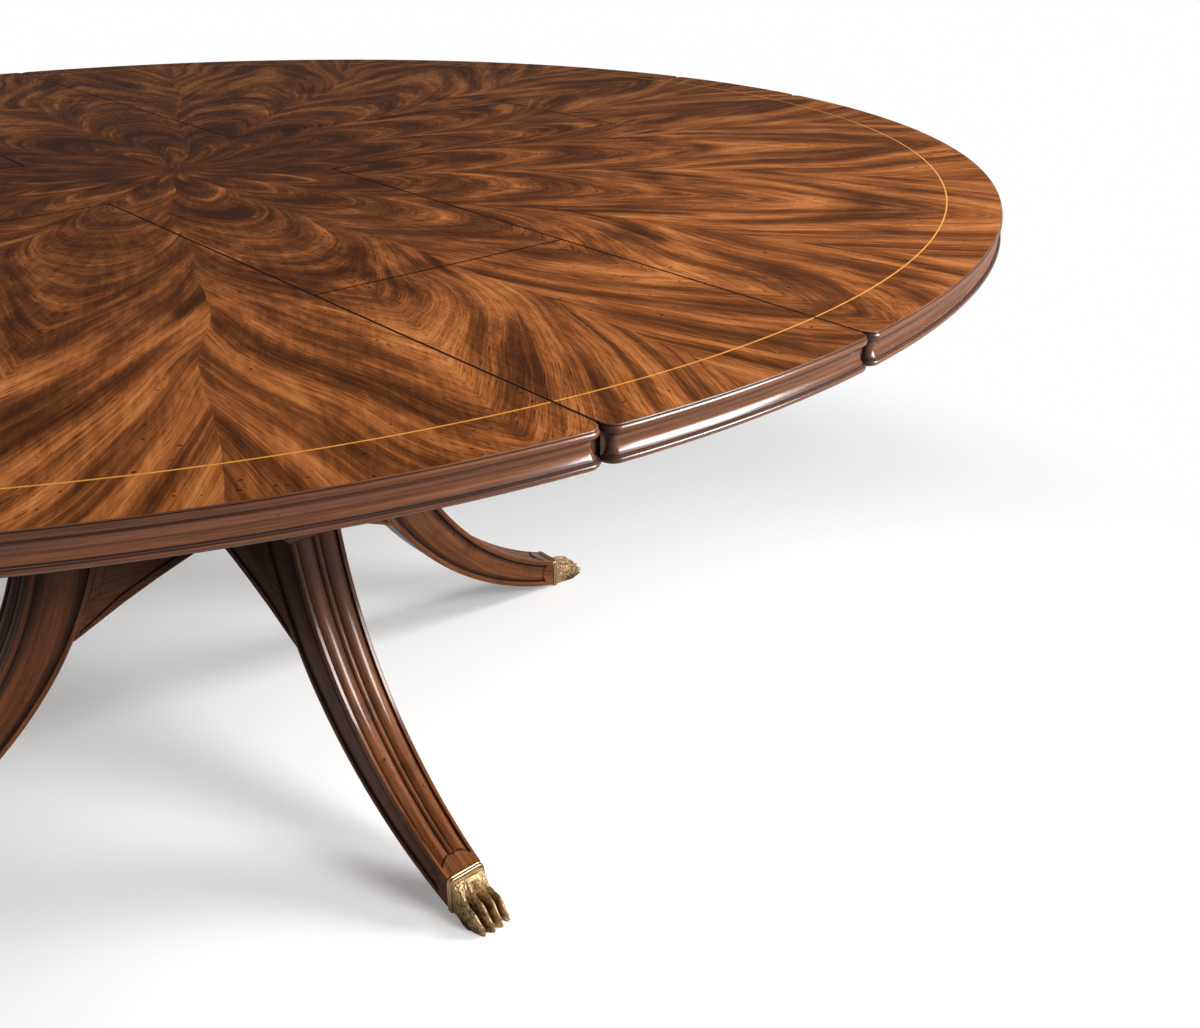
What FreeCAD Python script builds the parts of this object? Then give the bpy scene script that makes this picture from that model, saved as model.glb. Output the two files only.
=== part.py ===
import FreeCAD, Part
import math
import os

# Round extending dining table, shown open with its leaves in.
# Millimetres, +Z up, origin on the floor under the middle of the top.

# Sizes of the top
table_height = 760.0
top_radius = 950.0
top_thickness = 28.0
leaf_gap_width = 262.0
cross_reach = 564.0
lipping_width = 28.0
rim_corner_radius = 11.0
inner_corner_radius = 4.0

# Sizes of the stringing
string_inset = 57.5
string_width = 1.6
string_depth = 1.2

# Sizes of the bearers, the bed board and the locating pins
bearer_overlap = 136.0
bearer_width = 50.0
bearer_height = 56.0
bearer_end_rise = 22.0
bearer_end_run = 70.0
board_half_width = 270.0
board_thickness = 26.0
board_chamfer = 8.0
pin_radius = 4.0
pin_rise = 12.0
pin_root = 20.0
leaf_pin_inset = 76.0
cross_pin_inset = 124.0

# Sizes of the runners and their guides, along each diagonal
runner_start = 315.0
runner_setback = 130.0
runner_width = 100.0
flange_thickness = 26.0
spine_width = 70.0
head_length = 40.0
head_width = 124.0
slide_travel = 45.0
guide_start = 122.0
guide_end = 560.0
guide_wall = 12.5
guide_floor = 14.0

# Sizes of the turn buttons and of the screws
button_thickness = 5.0
button_width = 24.0
button_length = 63.0
button_inset = 30.0
button_setback = 190.0
screw_radius = 2.5
screw_depth = 20.0
screw_head_radius = 4.5
screw_head_height = 3.0
screw_spread = 18.0
runner_screw_setbacks = (200.0, 50.0)

# Sizes of the platform and the columns
platform_base = 372.0
platform_thickness = 48.0
platform_reach = 264.0
platform_tip_half = 42.0
platform_waist_radius = 150.0
platform_edge_radius = 7.0
column_circle_radius = 150.0
column_radius = 37.0
column_tenon_radius = 14.0
column_tenon_length = 18.0

# Sizes of the legs: reach is measured outwards from the middle of the table
leg_shoulder_reach = 248.0
leg_toe_reach = 516.0
leg_toe_height = 44.5
leg_toe_lift = 1.5
leg_front_sag = 55.0
leg_knee_reach = 226.0
leg_knee_height = 216.0
leg_back_sag = 35.0
leg_root_depth = 76.0
leg_root_sag = 6.0
leg_width = 64.0
leg_toe_width = 46.0
reed_band_width = 37.0
reed_depth = 4.0
reed_stop = 18.0
panel_border = 11.0
panel_depth = 3.0
tongue_length = 30.0
tongue_width = 30.0
tongue_base = 9.0
tongue_height = 22.0

# Sizes of the leg bolts
bolt_inner_gap = 50.0
bolt_outer_gap = 38.0
bolt_radius = 5.0
bolt_grip = 42.0
bolt_root = 28.0
bolt_head_flats = 16.0
bolt_head_sides = 6
bolt_head_height = 8.0
bolt_recess_radius = 11.0

# Sizes of the paw caps and their screws
collar_length = 7.0
collar_lip = 1.5
collar_groove = 1.2
paw_length = 65.0
paw_width = 47.0
paw_height = 43.0
toe_radius = 6.6
toe_tip_radius = 4.6
toe_rise = 5.4
claw_length = 9.0
claw_radius = 2.8
claw_tip_radius = 0.9
paw_screw_inset = 17.0
paw_screw_radius = 2.0
paw_screw_length = 22.0
paw_screw_head_radius = 3.8
paw_screw_head_height = 2.6
paw_screw_sink = 1.0

# Fits and clearances
seam_gap = 0.4
slide_play = 0.5
pin_fit = 0.08
button_fit = 0.06
button_relief = 0.4
head_room = 0.5
overrun = 5.0

# Moulded edge from the top down, as shares of the top's thickness: (inset, drop).
# A step of one point is a straight line, a step of two is an arc with its middle first.
edge_start_share = (0.064, 0.0)
edge_steps_share = (
    ((0.041, 0.009), (0.032, 0.032)),
    ((0.056, 0.046),),
    ((0.0, 0.150), (0.056, 0.245)),
    ((0.100, 0.262),),
    ((0.200, 0.550), (0.085, 0.800)),
    ((0.050, 0.800),),
    ((0.050, 0.838),),
    ((0.0, 0.915), (0.055, 0.985)),
    ((0.055, 1.0),),
)

# Two reeds with a bead between them, as shares of half the band and of the depth.
reed_start_share = (-1.0, 0.0)
reed_steps_share = (
    ((-1.0, 1.0),),
    ((-0.6, 0.08), (-0.2, 1.0)),
    ((0.0, 0.4), (0.2, 1.0)),
    ((0.6, 0.08), (1.0, 1.0)),
    ((1.0, 0.0),),
)

# Turned column from the foot up, as shares of its radius and of its height.
column_start_share = (1.0, 0.0)
column_steps_share = (
    ((1.0, 0.045),),
    ((0.90, 0.055),),
    ((1.0, 0.085), (0.90, 0.115)),
    ((0.72, 0.125),),
    ((0.62, 0.180), (0.70, 0.235)),
    ((0.94, 0.400), (0.66, 0.700)),
    ((0.56, 0.820), (0.60, 0.850)),
    ((0.82, 0.858),),
    ((0.92, 0.880), (0.82, 0.902)),
    ((0.70, 0.912),),
    ((0.74, 0.945), (0.95, 0.955)),
    ((0.95, 1.0),),
)

# Paw body sections from the collar out, as shares of the paw's length, width and height.
paw_section_shares = (
    (0.09, 0.97, 0.97),
    (0.42, 1.0, 0.86),
    (0.68, 0.97, 0.60),
    (0.84, 0.86, 0.38),
)
paw_side_share = 0.55
toe_place_shares = (-0.375, -0.125, 0.125, 0.375)
toe_start_share = 0.48
collar_groove_shares = (0.42, 0.64)

# Heights and reaches that follow from the sizes above
top_base = table_height - top_thickness
board_top = top_base - bearer_height
board_base = board_top - board_thickness
platform_top = platform_base + platform_thickness
groove_base = board_top + guide_floor
flange_top = groove_base + flange_thickness
gap_half = leaf_gap_width / 2
leaf_half = gap_half - seam_gap
bearer_half = bearer_width / 2
bearer_reach = cross_reach + bearer_overlap
leaf_pin_reach = cross_reach + leaf_pin_inset
cross_pin_reach = cross_reach - cross_pin_inset
runner_end = top_radius - runner_setback
runner_screw_reaches = [runner_end - setback for setback in runner_screw_setbacks]
button_reach = top_radius - button_setback
leg_root_height = platform_base - leg_root_depth
bolt_seat = platform_base - bolt_grip
bolt_reaches = (column_circle_radius - bolt_inner_gap, column_circle_radius + bolt_outer_gap)

UP = FreeCAD.Vector(0, 0, 1)
ACROSS = FreeCAD.Vector(0, 1, 0)
ORIGIN = FreeCAD.Vector(0, 0, 0)
RIGHT_ANGLE = 90.0
HALF_TURN = 180.0
FULL_TURN = 360.0

# Every side is the one on the right, or behind it, turned about the middle.
side_turns = {"right": 0.0, "back": 90.0, "left": 180.0, "front": -90.0}
quarter_turns = {"back_right": 0.0, "back_left": 90.0, "front_left": 180.0, "front_right": -90.0}


def point(x, y, z=0.0):
    return FreeCAD.Vector(x, y, z)


def polar(centre, radius, degrees):
    """Point at this radius and bearing from a centre, in plan."""
    bearing = math.radians(degrees)
    return centre + point(radius * math.cos(bearing), radius * math.sin(bearing))


def bearing_of(place):
    return math.degrees(math.atan2(place.y, place.x))


def line(start, end):
    return Part.makeLine(start, end)


def arc(start, middle, end):
    return Part.Arc(start, middle, end).toShape()


def box(x_low, x_high, y_low, y_high, z_low, z_high):
    corner = point(x_low, y_low, z_low)
    return Part.makeBox(x_high - x_low, y_high - y_low, z_high - z_low, corner)


def rod(radius, x, y, z_low, z_high):
    return Part.makeCylinder(radius, z_high - z_low, point(x, y, z_low))


def slab(edges, z_low, z_high):
    """Upright slab on a plan drawn as a closed run of edges."""
    plan = Part.Face(Part.Wire(edges))
    plan.translate(UP * z_low)
    return plan.extrude(UP * (z_high - z_low))


def polygon(points):
    closed = points + points[:1]
    return [line(start, end) for start, end in zip(closed, closed[1:])]


def profile_edges(start, steps, place):
    """Run of lines and arcs through the steps of a table of shares."""
    edges = []
    last = place(start)
    for step in steps:
        end = place(step[-1])
        if len(step) == 1:
            edges.append(line(last, end))
        else:
            edges.append(arc(last, place(step[0]), end))
        last = end
    return edges


def turned(shape, degrees):
    copy = shape.copy()
    copy.rotate(ORIGIN, UP, degrees)
    return copy


def joined(shapes):
    return shapes[0].multiFuse(shapes[1:]).removeSplitter()


# The top

def rim_corner(side):
    """Centre of the rounding between the rim and a straight side."""
    reach = top_radius - rim_corner_radius
    return point(math.sqrt(reach ** 2 - side ** 2), side)


def rounding(centre, start, end):
    """Plan arc round a rim corner between two bearings."""
    middle = (start + end) / 2
    return arc(*(polar(centre, rim_corner_radius, turn) for turn in (start, middle, end)))


def rim_arc(start, end):
    middle = (start + end) / 2
    return arc(*(polar(ORIGIN, top_radius, turn) for turn in (start, middle, end)))


def edge_waste(centre, radius, start, end):
    """Ring of waste outside the moulded edge, turned about an upright axis."""
    def place(share):
        return point(radius - share[0] * top_thickness, 0, table_height - share[1] * top_thickness)

    edges = profile_edges(edge_start_share, edge_steps_share, place)
    inner_low = place(edge_steps_share[-1][-1])
    inner_top = place(edge_start_share)
    outline = [inner_low - UP * overrun,
               point(radius + overrun, 0, top_base - overrun),
               point(radius + overrun, 0, table_height + overrun),
               inner_top + UP * overrun]
    edges.append(line(inner_low, outline[0]))
    edges.extend(line(low, high) for low, high in zip(outline, outline[1:]))
    edges.append(line(outline[-1], inner_top))
    ring = Part.Face(Part.Wire(edges)).revolve(ORIGIN, UP, end - start)
    ring.rotate(ORIGIN, UP, start)
    ring.translate(centre)
    return ring


def core_disc():
    return rod(top_radius - lipping_width, 0, 0, top_base - overrun, table_height + overrun)


def string_ring():
    outer = top_radius - string_inset + string_width / 2
    low = table_height - string_depth
    ring = rod(outer, 0, 0, low, table_height)
    return ring.cut(rod(outer - string_width, 0, 0, low - overrun, table_height + overrun))


def top_piece(plan, waste):
    """Panel, moulded lipping and string of one piece of the top."""
    blank = slab(plan, top_base, table_height)
    string = blank.common(string_ring())
    panel = blank.common(core_disc()).cut(string)
    moulding = blank.cut(core_disc()).cut(waste)
    return {"panel": panel, "moulding": moulding, "string": string}


def leaf():
    """Leaf that points to the right."""
    start = cross_reach + seam_gap
    upper = rim_corner(leaf_half - rim_corner_radius)
    lower = point(upper.x, -upper.y)
    lean = bearing_of(upper)
    plan = [line(point(start, -leaf_half), point(lower.x, -leaf_half)),
            rounding(lower, -RIGHT_ANGLE, -lean),
            rim_arc(-lean, lean),
            rounding(upper, lean, RIGHT_ANGLE),
            line(point(upper.x, leaf_half), point(start, leaf_half)),
            line(point(start, leaf_half), point(start, -leaf_half))]
    waste = [edge_waste(ORIGIN, top_radius, -lean, lean),
             edge_waste(lower, rim_corner_radius, -RIGHT_ANGLE, -lean),
             edge_waste(upper, rim_corner_radius, lean, RIGHT_ANGLE)]
    pieces = top_piece(plan, waste)
    pieces["panel"] = pieces["panel"].cut(pin_hole(leaf_pin_reach))
    return pieces


def quarter():
    """Quarter of the top between the right and the back leaves."""
    first = rim_corner(gap_half + rim_corner_radius)
    last = point(first.y, first.x)
    lean = bearing_of(first)
    rest = RIGHT_ANGLE - lean
    inner = point(gap_half + inner_corner_radius, gap_half + inner_corner_radius)
    inner_turns = (HALF_TURN, HALF_TURN + RIGHT_ANGLE / 2, HALF_TURN + RIGHT_ANGLE)
    plan = [arc(*(polar(inner, inner_corner_radius, turn) for turn in inner_turns)),
            line(point(inner.x, gap_half), point(first.x, gap_half)),
            rounding(first, -RIGHT_ANGLE, lean),
            rim_arc(lean, rest),
            rounding(last, rest, HALF_TURN),
            line(point(gap_half, last.y), point(gap_half, inner.y))]
    waste = [edge_waste(ORIGIN, top_radius, lean, rest),
             edge_waste(first, rim_corner_radius, -RIGHT_ANGLE, lean),
             edge_waste(last, rim_corner_radius, rest, HALF_TURN)]
    pieces = top_piece(plan, waste)
    holes = [rod(screw_radius, x, y, top_base - overrun, top_base + screw_depth)
             for x, y in screw_places()]
    pieces["panel"] = pieces["panel"].cut(holes)
    return pieces


def pin_hole(reach):
    return rod(pin_radius + pin_fit, reach, 0, top_base - overrun, top_base + pin_rise + head_room)


def centre_cross():
    """Plus-shaped panel in the middle, with the pin holes in its underside."""
    arm = box(-cross_reach, cross_reach, -leaf_half, leaf_half, top_base, table_height)
    cross = joined([arm, turned(arm, RIGHT_ANGLE)])
    return cross.cut([turned(pin_hole(cross_pin_reach), turn) for turn in side_turns.values()])


# Sliding gear under the top

def on_diagonal(shape):
    return turned(shape, RIGHT_ANGLE / 2)


def runner():
    """Runner under a quarter: a spine on a wider flange, with a head that the guide stops."""
    half = runner_width / 2
    head_half = head_width / 2
    head_end = runner_start + head_length
    spine_half = spine_width / 2
    bar = joined([box(runner_start, runner_end, -half, half, groove_base, flange_top),
                  box(runner_start, head_end, -head_half, head_half, groove_base, flange_top),
                  box(runner_start, runner_end, -spine_half, spine_half, groove_base, top_base)])
    seat = top_base - button_thickness
    for reach in runner_screw_reaches:
        for side in (-screw_spread, screw_spread):
            bar = bar.cut(rod(screw_radius, reach, side, groove_base, top_base + overrun))
            bar = bar.cut(rod(screw_head_radius + slide_play, reach, side, groove_base - overrun, seat))
    return on_diagonal(bar)


def guide():
    """Guide on the bed board: a groove with lips over it, narrowed where it stops the head."""
    wide = head_width / 2 + slide_play
    half = wide + guide_wall
    narrow = runner_width / 2 + slide_play
    slot = spine_width / 2 + slide_play
    stop = runner_start + head_length + slide_travel
    roof = flange_top + slide_play
    top = top_base - head_room
    block = box(guide_start, guide_end, -half, half, board_top, top)
    open_start = guide_start - overrun
    open_end = guide_end + overrun
    block = block.cut(box(open_start, stop, -wide, wide, groove_base, roof))
    block = block.cut(box(guide_start, open_end, -narrow, narrow, groove_base, roof))
    block = block.cut(box(open_start, open_end, -slot, slot, groove_base, top + overrun))
    return on_diagonal(block)


def screw_places():
    """Plan places of one quarter's screws: four in the runner and one in the turn button."""
    places = [(button_reach, gap_half + button_inset)]
    diagonal = math.sqrt(2)
    for reach in runner_screw_reaches:
        for side in (-screw_spread, screw_spread):
            places.append(((reach - side) / diagonal, (reach + side) / diagonal))
    return places


def quarter_screws():
    seat = top_base - button_thickness
    screws = []
    for x, y in screw_places():
        shank = rod(screw_radius, x, y, seat, top_base + screw_depth)
        head = rod(screw_head_radius, x, y, seat - screw_head_height, seat)
        screws.append(shank.fuse(head))
    return Part.makeCompound(screws)


def turn_button():
    """Button under a quarter's edge, its thinner tip turned under the edge of the right leaf."""
    pivot = point(button_reach, gap_half + button_inset)
    tip = pivot - ACROSS * button_length
    half = button_width / 2
    low = top_base - button_thickness
    bar = joined([box(pivot.x - half, pivot.x + half, tip.y, pivot.y, low, top_base),
                  rod(half, pivot.x, pivot.y, low, top_base),
                  rod(half, tip.x, tip.y, low, top_base)])
    relief = box(pivot.x - button_width, pivot.x + button_width, tip.y - button_width, gap_half,
                 top_base - button_relief, top_base + overrun)
    hole = rod(screw_radius + button_fit, pivot.x, pivot.y, low - overrun, top_base + overrun)
    return bar.cut([relief, hole])


def bearer(notch_low, notch_high):
    """Long bearer from left to right, with its half of the crossing and its pin holes."""
    ends = [(-bearer_reach, top_base), (-bearer_reach, top_base - bearer_end_rise),
            (bearer_end_run - bearer_reach, board_top), (bearer_reach - bearer_end_run, board_top),
            (bearer_reach, top_base - bearer_end_rise), (bearer_reach, top_base)]
    face = Part.Face(Part.Wire(polygon([point(x, -bearer_half, z) for x, z in ends])))
    bar = face.extrude(ACROSS * bearer_width)
    bar = bar.cut(box(-bearer_half, bearer_half, -bearer_width, bearer_width, notch_low, notch_high))
    reaches = (leaf_pin_reach, cross_pin_reach, -cross_pin_reach, -leaf_pin_reach)
    return bar.cut([rod(pin_radius, x, 0, top_base - pin_root, top_base + overrun) for x in reaches])


def locating_pins():
    pins = []
    for turn in side_turns.values():
        for reach in (leaf_pin_reach, cross_pin_reach):
            pins.append(turned(rod(pin_radius, reach, 0, top_base - pin_root, top_base + pin_rise), turn))
    return Part.makeCompound(pins)


def bed_board():
    """Square board that carries the bearers and the guides, mortised for the columns."""
    side = board_half_width
    shoulder = board_base + board_chamfer

    def square(half, z):
        corners = ((-half, -half), (half, -half), (half, half), (-half, half))
        return Part.Wire(polygon([point(x, y, z) for x, y in corners]))

    bevel = Part.makeLoft([square(side - board_chamfer, board_base), square(side, shoulder)], True, True)
    board = joined([bevel, box(-side, side, -side, side, shoulder, board_top)])
    mortise_top = board_base + column_tenon_length
    mortise = rod(column_tenon_radius, column_circle_radius, 0, board_base - overrun, mortise_top)
    return board.cut([turned(mortise, turn) for turn in side_turns.values()])


# The pedestal

def column():
    """Turned column on the right, with a tenon at each end."""
    height = board_base - platform_top

    def place(share):
        return point(column_circle_radius + share[0] * column_radius, 0, platform_top + share[1] * height)

    edges = profile_edges(column_start_share, column_steps_share, place)
    foot = point(column_circle_radius, 0, platform_top)
    head = point(column_circle_radius, 0, board_base)
    edges.append(line(place(column_steps_share[-1][-1]), head))
    edges.append(line(head, foot))
    edges.append(line(foot, place(column_start_share)))
    shaft = Part.Face(Part.Wire(edges)).revolve(foot, UP, FULL_TURN)
    tenons = rod(column_tenon_radius, column_circle_radius, 0, platform_top - column_tenon_length,
                 board_base + column_tenon_length)
    return joined([shaft, tenons])


def platform():
    """Platform with hollowed sides, its four tips over the legs."""
    edges = []
    waist = polar(ORIGIN, platform_waist_radius, RIGHT_ANGLE / 2)
    tip = [point(platform_reach, -platform_tip_half), point(platform_reach, platform_tip_half)]
    hollow = arc(tip[1], waist, point(platform_tip_half, platform_reach))
    for turn in side_turns.values():
        edges.append(turned(line(*tip), turn))
        edges.append(turned(hollow, turn))
    block = slab(edges, platform_base, platform_top)
    rims = [edge for edge in block.Edges if edge.BoundBox.ZLength < platform_edge_radius]
    block = block.makeFillet(platform_edge_radius, rims)
    mortise_base = platform_top - column_tenon_length
    holes = [rod(column_tenon_radius, column_circle_radius, 0, mortise_base, platform_top + overrun)]
    for reach in bolt_reaches:
        holes.append(rod(bolt_radius, reach, 0, platform_base - overrun, platform_base + bolt_root))
    return block.cut([turned(hole, turn) for hole in holes for turn in side_turns.values()])


# The legs

def sagged(start, end, sag):
    """Middle of an arc that hangs from its chord by this much, in the upright plane of a leg."""
    chord = end - start
    normal = point(chord.z, 0, -chord.x).normalize()
    return (start + end) / 2 + normal * sag


def circle_of(start, end, sag):
    """Centre and radius of the arc with this chord and sag."""
    chord = end - start
    normal = point(chord.z, 0, -chord.x).normalize()
    radius = (chord.Length ** 2 / 4 + sag ** 2) / (2 * sag)
    return (start + end) / 2 - normal * (radius - sag), radius


def leg_points():
    """Corners of the leg's side outline, in the upright plane that points to the right."""
    return {"shoulder": point(leg_shoulder_reach, 0, platform_base),
            "toe": point(leg_toe_reach, 0, leg_toe_height),
            "heel": point(leg_toe_reach, 0, leg_toe_lift),
            "knee": point(leg_knee_reach, 0, leg_knee_height),
            "root": point(0, 0, leg_root_height),
            "crown": point(0, 0, platform_base)}


def leg_outline():
    """Side outline of the leg: reeded front, toe, sabre back and the arch up to the middle."""
    at = leg_points()
    edges = [line(at["crown"], at["shoulder"]),
             arc(at["shoulder"], sagged(at["shoulder"], at["toe"], leg_front_sag), at["toe"]),
             line(at["toe"], at["heel"]),
             arc(at["heel"], sagged(at["knee"], at["heel"], leg_back_sag), at["knee"]),
             arc(at["knee"], sagged(at["knee"], at["root"], leg_root_sag), at["root"]),
             line(at["root"], at["crown"])]
    return Part.Wire(edges)


def outside_leg(inset):
    """Everything beyond both tapered sides of the leg, less an inset."""
    half = leg_width / 2
    plan = [point(-overrun, half - inset), point(leg_shoulder_reach, half - inset),
            point(leg_toe_reach, leg_toe_width / 2 - inset),
            point(leg_toe_reach + overrun, leg_toe_width / 2 - inset),
            point(leg_toe_reach + overrun, half + overrun), point(-overrun, half + overrun)]
    side = slab(polygon(plan), -overrun, platform_base + overrun)
    return joined([side, side.mirror(ORIGIN, ACROSS)])


def mitre_waste():
    """What is cut from the root so that four legs meet on mitres in the middle."""
    plan = [point(0, 0), point(leg_width, leg_width), point(-overrun, leg_width), point(-overrun, 0)]
    side = slab(polygon(plan), -overrun, platform_base + overrun)
    return joined([side, side.mirror(ORIGIN, ACROSS)])


def reed_waste():
    """What is cut from the front of the leg to leave two reeds and a bead."""
    at = leg_points()
    centre, radius = circle_of(at["shoulder"], at["toe"], leg_front_sag)
    half = reed_band_width / 2

    def place(share):
        return point(centre.x - radius - share[1] * reed_depth, share[0] * half, centre.z)

    edges = profile_edges(reed_start_share, reed_steps_share, place)
    lift = point(overrun, 0)
    first = place(reed_start_share)
    last = place(reed_steps_share[-1][-1])
    edges += [line(last, last + lift), line(last + lift, first + lift), line(first + lift, first)]
    foot = leg_toe_reach - reed_stop
    sweep = math.degrees(math.acos((centre.x - foot) / radius))
    return Part.Face(Part.Wire(edges)).revolve(centre, -ACROSS, sweep)


def panel_waste():
    """Shallow panels in both sides: one along the sabre curve and one in the arch."""
    at = leg_points()
    field = Part.Face(leg_outline().makeOffset2D(-panel_border))
    field.translate(-ACROSS * leg_width)
    prism = field.extrude(ACROSS * (leg_width + leg_width))
    centre, radius = circle_of(at["knee"], at["heel"], leg_back_sag)
    middle = centre - ACROSS * leg_width
    reach = leg_width + leg_width
    outer = Part.makeCylinder(radius, reach, middle, ACROSS)
    inner = Part.makeCylinder(radius - panel_border, reach, middle, ACROSS)
    return prism.cut(outer.cut(inner)).common(outside_leg(panel_depth))


def tongue():
    half = tongue_width / 2
    return box(leg_toe_reach, leg_toe_reach + tongue_length, -half, half,
               tongue_base, tongue_base + tongue_height)


def paw_screw():
    """Screw from the sole of the paw cap up into the tongue."""
    x = leg_toe_reach + paw_screw_inset
    seat = paw_screw_sink + paw_screw_head_height
    shank = rod(paw_screw_radius, x, 0, seat, seat + paw_screw_length)
    return shank.fuse(rod(paw_screw_head_radius, x, 0, paw_screw_sink, seat))


def leg_bolt(reach):
    """Bolt from a recess in the arch up into the platform."""
    corner = bolt_head_flats / 2 / math.cos(math.pi / bolt_head_sides)
    turns = [FULL_TURN * index / bolt_head_sides for index in range(bolt_head_sides)]
    flats = polygon([polar(point(reach, 0), corner, turn) for turn in turns])
    head = slab(flats, bolt_seat - bolt_head_height, bolt_seat)
    return head.fuse(rod(bolt_radius, reach, 0, bolt_seat, platform_base + bolt_root))


def leg():
    """Leg that points to the right, with the tongue that takes the paw cap."""
    half = leg_width / 2
    side = Part.Face(leg_outline())
    side.translate(-ACROSS * half)
    body = side.extrude(ACROSS * leg_width)
    body = body.cut([outside_leg(0), mitre_waste(), reed_waste(), panel_waste()])
    for reach in bolt_reaches:
        body = body.cut(rod(bolt_radius, reach, 0, bolt_seat - overrun, platform_base + overrun))
        body = body.cut(rod(bolt_recess_radius, reach, 0, 0, bolt_seat))
    return joined([body, tongue()]).cut(paw_screw())


def paw_section(length_share, width_share, height_share):
    """Upright section across the paw: straight sides from under the floor, and a domed back."""
    x = leg_toe_reach + length_share * paw_length
    half = width_share * paw_width / 2
    height = height_share * paw_height
    side = paw_side_share * height
    edges = [line(point(x, -half, -overrun), point(x, half, -overrun)),
             line(point(x, half, -overrun), point(x, half, side)),
             arc(point(x, half, side), point(x, 0, height), point(x, -half, side)),
             line(point(x, -half, side), point(x, -half, -overrun))]
    return Part.Wire(edges)


def paw_collar():
    """Square collar with a groove round it, standing proud of the leg."""
    half = leg_toe_width / 2 + collar_lip
    height = leg_toe_height + collar_lip
    start = leg_toe_reach
    band = box(start, start + collar_length, -half, half, -overrun, height)
    low = start + collar_groove_shares[0] * collar_length
    high = start + collar_groove_shares[1] * collar_length
    inner = half - collar_groove
    core = box(low, high, -inner, inner, -overrun, height - collar_groove)
    wide = half + overrun
    return band.cut(box(low, high, -wide, wide, -overrun, height + overrun).cut(core))


def paw_toes():
    """Toes and claws that fan out of the front of the paw."""
    start = leg_toe_reach + toe_start_share * paw_length
    end = leg_toe_reach + paw_length
    tip = end - claw_length
    along = point(1, 0)
    toes = []
    for share in toe_place_shares:
        y = share * paw_width
        root = point(start, y, toe_rise)
        nail = point(tip, y, claw_radius)
        toes.append(Part.makeCone(toe_radius, toe_tip_radius, tip - start, root, along))
        toes.append(Part.makeSphere(toe_tip_radius, point(tip, y, toe_rise)))
        toes.append(Part.makeCone(claw_radius, claw_tip_radius, claw_length, nail, along))
    return toes


def paw():
    """Cast paw cap that slips over the tongue of the right leg."""
    body = Part.makeLoft([paw_section(*shares) for shares in paw_section_shares], True)
    cap = joined([body, paw_collar()] + paw_toes())
    end = leg_toe_reach + paw_length + overrun
    cap = cap.cut(box(leg_toe_reach - overrun, end, -paw_width, paw_width, -toe_radius - overrun, 0))
    recess_x = leg_toe_reach + paw_screw_inset
    seat = paw_screw_sink + paw_screw_head_height
    recess = rod(paw_screw_head_radius, recess_x, 0, -overrun, seat)
    return cap.cut([tongue(), recess, paw_screw()])


def build():
    """Every piece of the table by the name of its node."""
    nodes = {}
    quarter_pieces = quarter()
    quarter_pieces["runner"] = runner()
    quarter_pieces["screws"] = quarter_screws()
    quarter_pieces["turn_button"] = turn_button()
    for name, turn in quarter_turns.items():
        for piece, shape in quarter_pieces.items():
            nodes["quarter_" + name + "_" + piece] = turned(shape, turn)
        nodes["guide_" + name] = turned(guide(), turn)
    leaf_pieces = leaf()
    right_leg = leg()
    right_paw = paw()
    right_column = column()
    for name, turn in side_turns.items():
        for piece, shape in leaf_pieces.items():
            nodes["leaf_" + name + "_" + piece] = turned(shape, turn)
        nodes["leg_" + name] = turned(right_leg, turn)
        nodes["paw_" + name] = turned(right_paw, turn)
        nodes["column_" + name] = turned(right_column, turn)
    lap = board_top + bearer_height / 2
    nodes["centre_cross"] = centre_cross()
    nodes["bearer_left_right"] = bearer(lap, top_base + overrun)
    nodes["bearer_front_back"] = turned(bearer(board_top - overrun, lap), RIGHT_ANGLE)
    nodes["locating_pins"] = locating_pins()
    nodes["bed_board"] = bed_board()
    nodes["platform"] = platform()
    turns = side_turns.values()
    bolts = [turned(leg_bolt(reach), turn) for reach in bolt_reaches for turn in turns]
    nodes["leg_bolts"] = Part.makeCompound(bolts)
    nodes["paw_screws"] = Part.makeCompound([turned(paw_screw(), turn) for turn in turns])
    return nodes


os.makedirs("parts", exist_ok=True)
for node_name, node_shape in build().items():
    node_shape.exportStep("parts/" + node_name + ".step")
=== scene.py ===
# %% [markdown]
# # A round extending dining table, dressed in Blender
#
# The solids of the table come in as a fixed frame. This lesson lays a better skin over the pieces
# that show: the moulded, veneered top, the reeded legs and the cast paws. Every other piece keeps
# its own mesh and gets a finish made of shader nodes.

# %% Load the frame, and a reader for the box of a part
import bpy
import bmesh
import math
from mathutils import Matrix, Vector, noise


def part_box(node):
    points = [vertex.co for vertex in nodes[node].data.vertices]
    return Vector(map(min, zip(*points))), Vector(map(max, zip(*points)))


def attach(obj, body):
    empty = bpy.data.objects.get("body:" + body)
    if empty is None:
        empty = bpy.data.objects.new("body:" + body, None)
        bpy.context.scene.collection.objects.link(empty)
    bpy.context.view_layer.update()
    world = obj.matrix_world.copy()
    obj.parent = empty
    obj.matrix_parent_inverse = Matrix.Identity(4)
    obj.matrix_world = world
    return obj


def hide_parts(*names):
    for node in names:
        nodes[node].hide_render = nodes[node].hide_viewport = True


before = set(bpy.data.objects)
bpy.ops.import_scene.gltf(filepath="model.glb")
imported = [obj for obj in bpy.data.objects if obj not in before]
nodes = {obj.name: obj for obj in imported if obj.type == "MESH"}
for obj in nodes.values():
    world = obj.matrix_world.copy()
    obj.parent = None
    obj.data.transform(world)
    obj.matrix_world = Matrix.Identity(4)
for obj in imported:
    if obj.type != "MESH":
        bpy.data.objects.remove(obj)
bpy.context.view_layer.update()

# %% [markdown]
# ## Camera
#
# The picture was taken from the front left, a little above the top. The place and the lens were
# worked out from the rim, the seams and the feet. A small shift keeps the uprights where the
# picture has them, because its frame is cut off centre.

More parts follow.
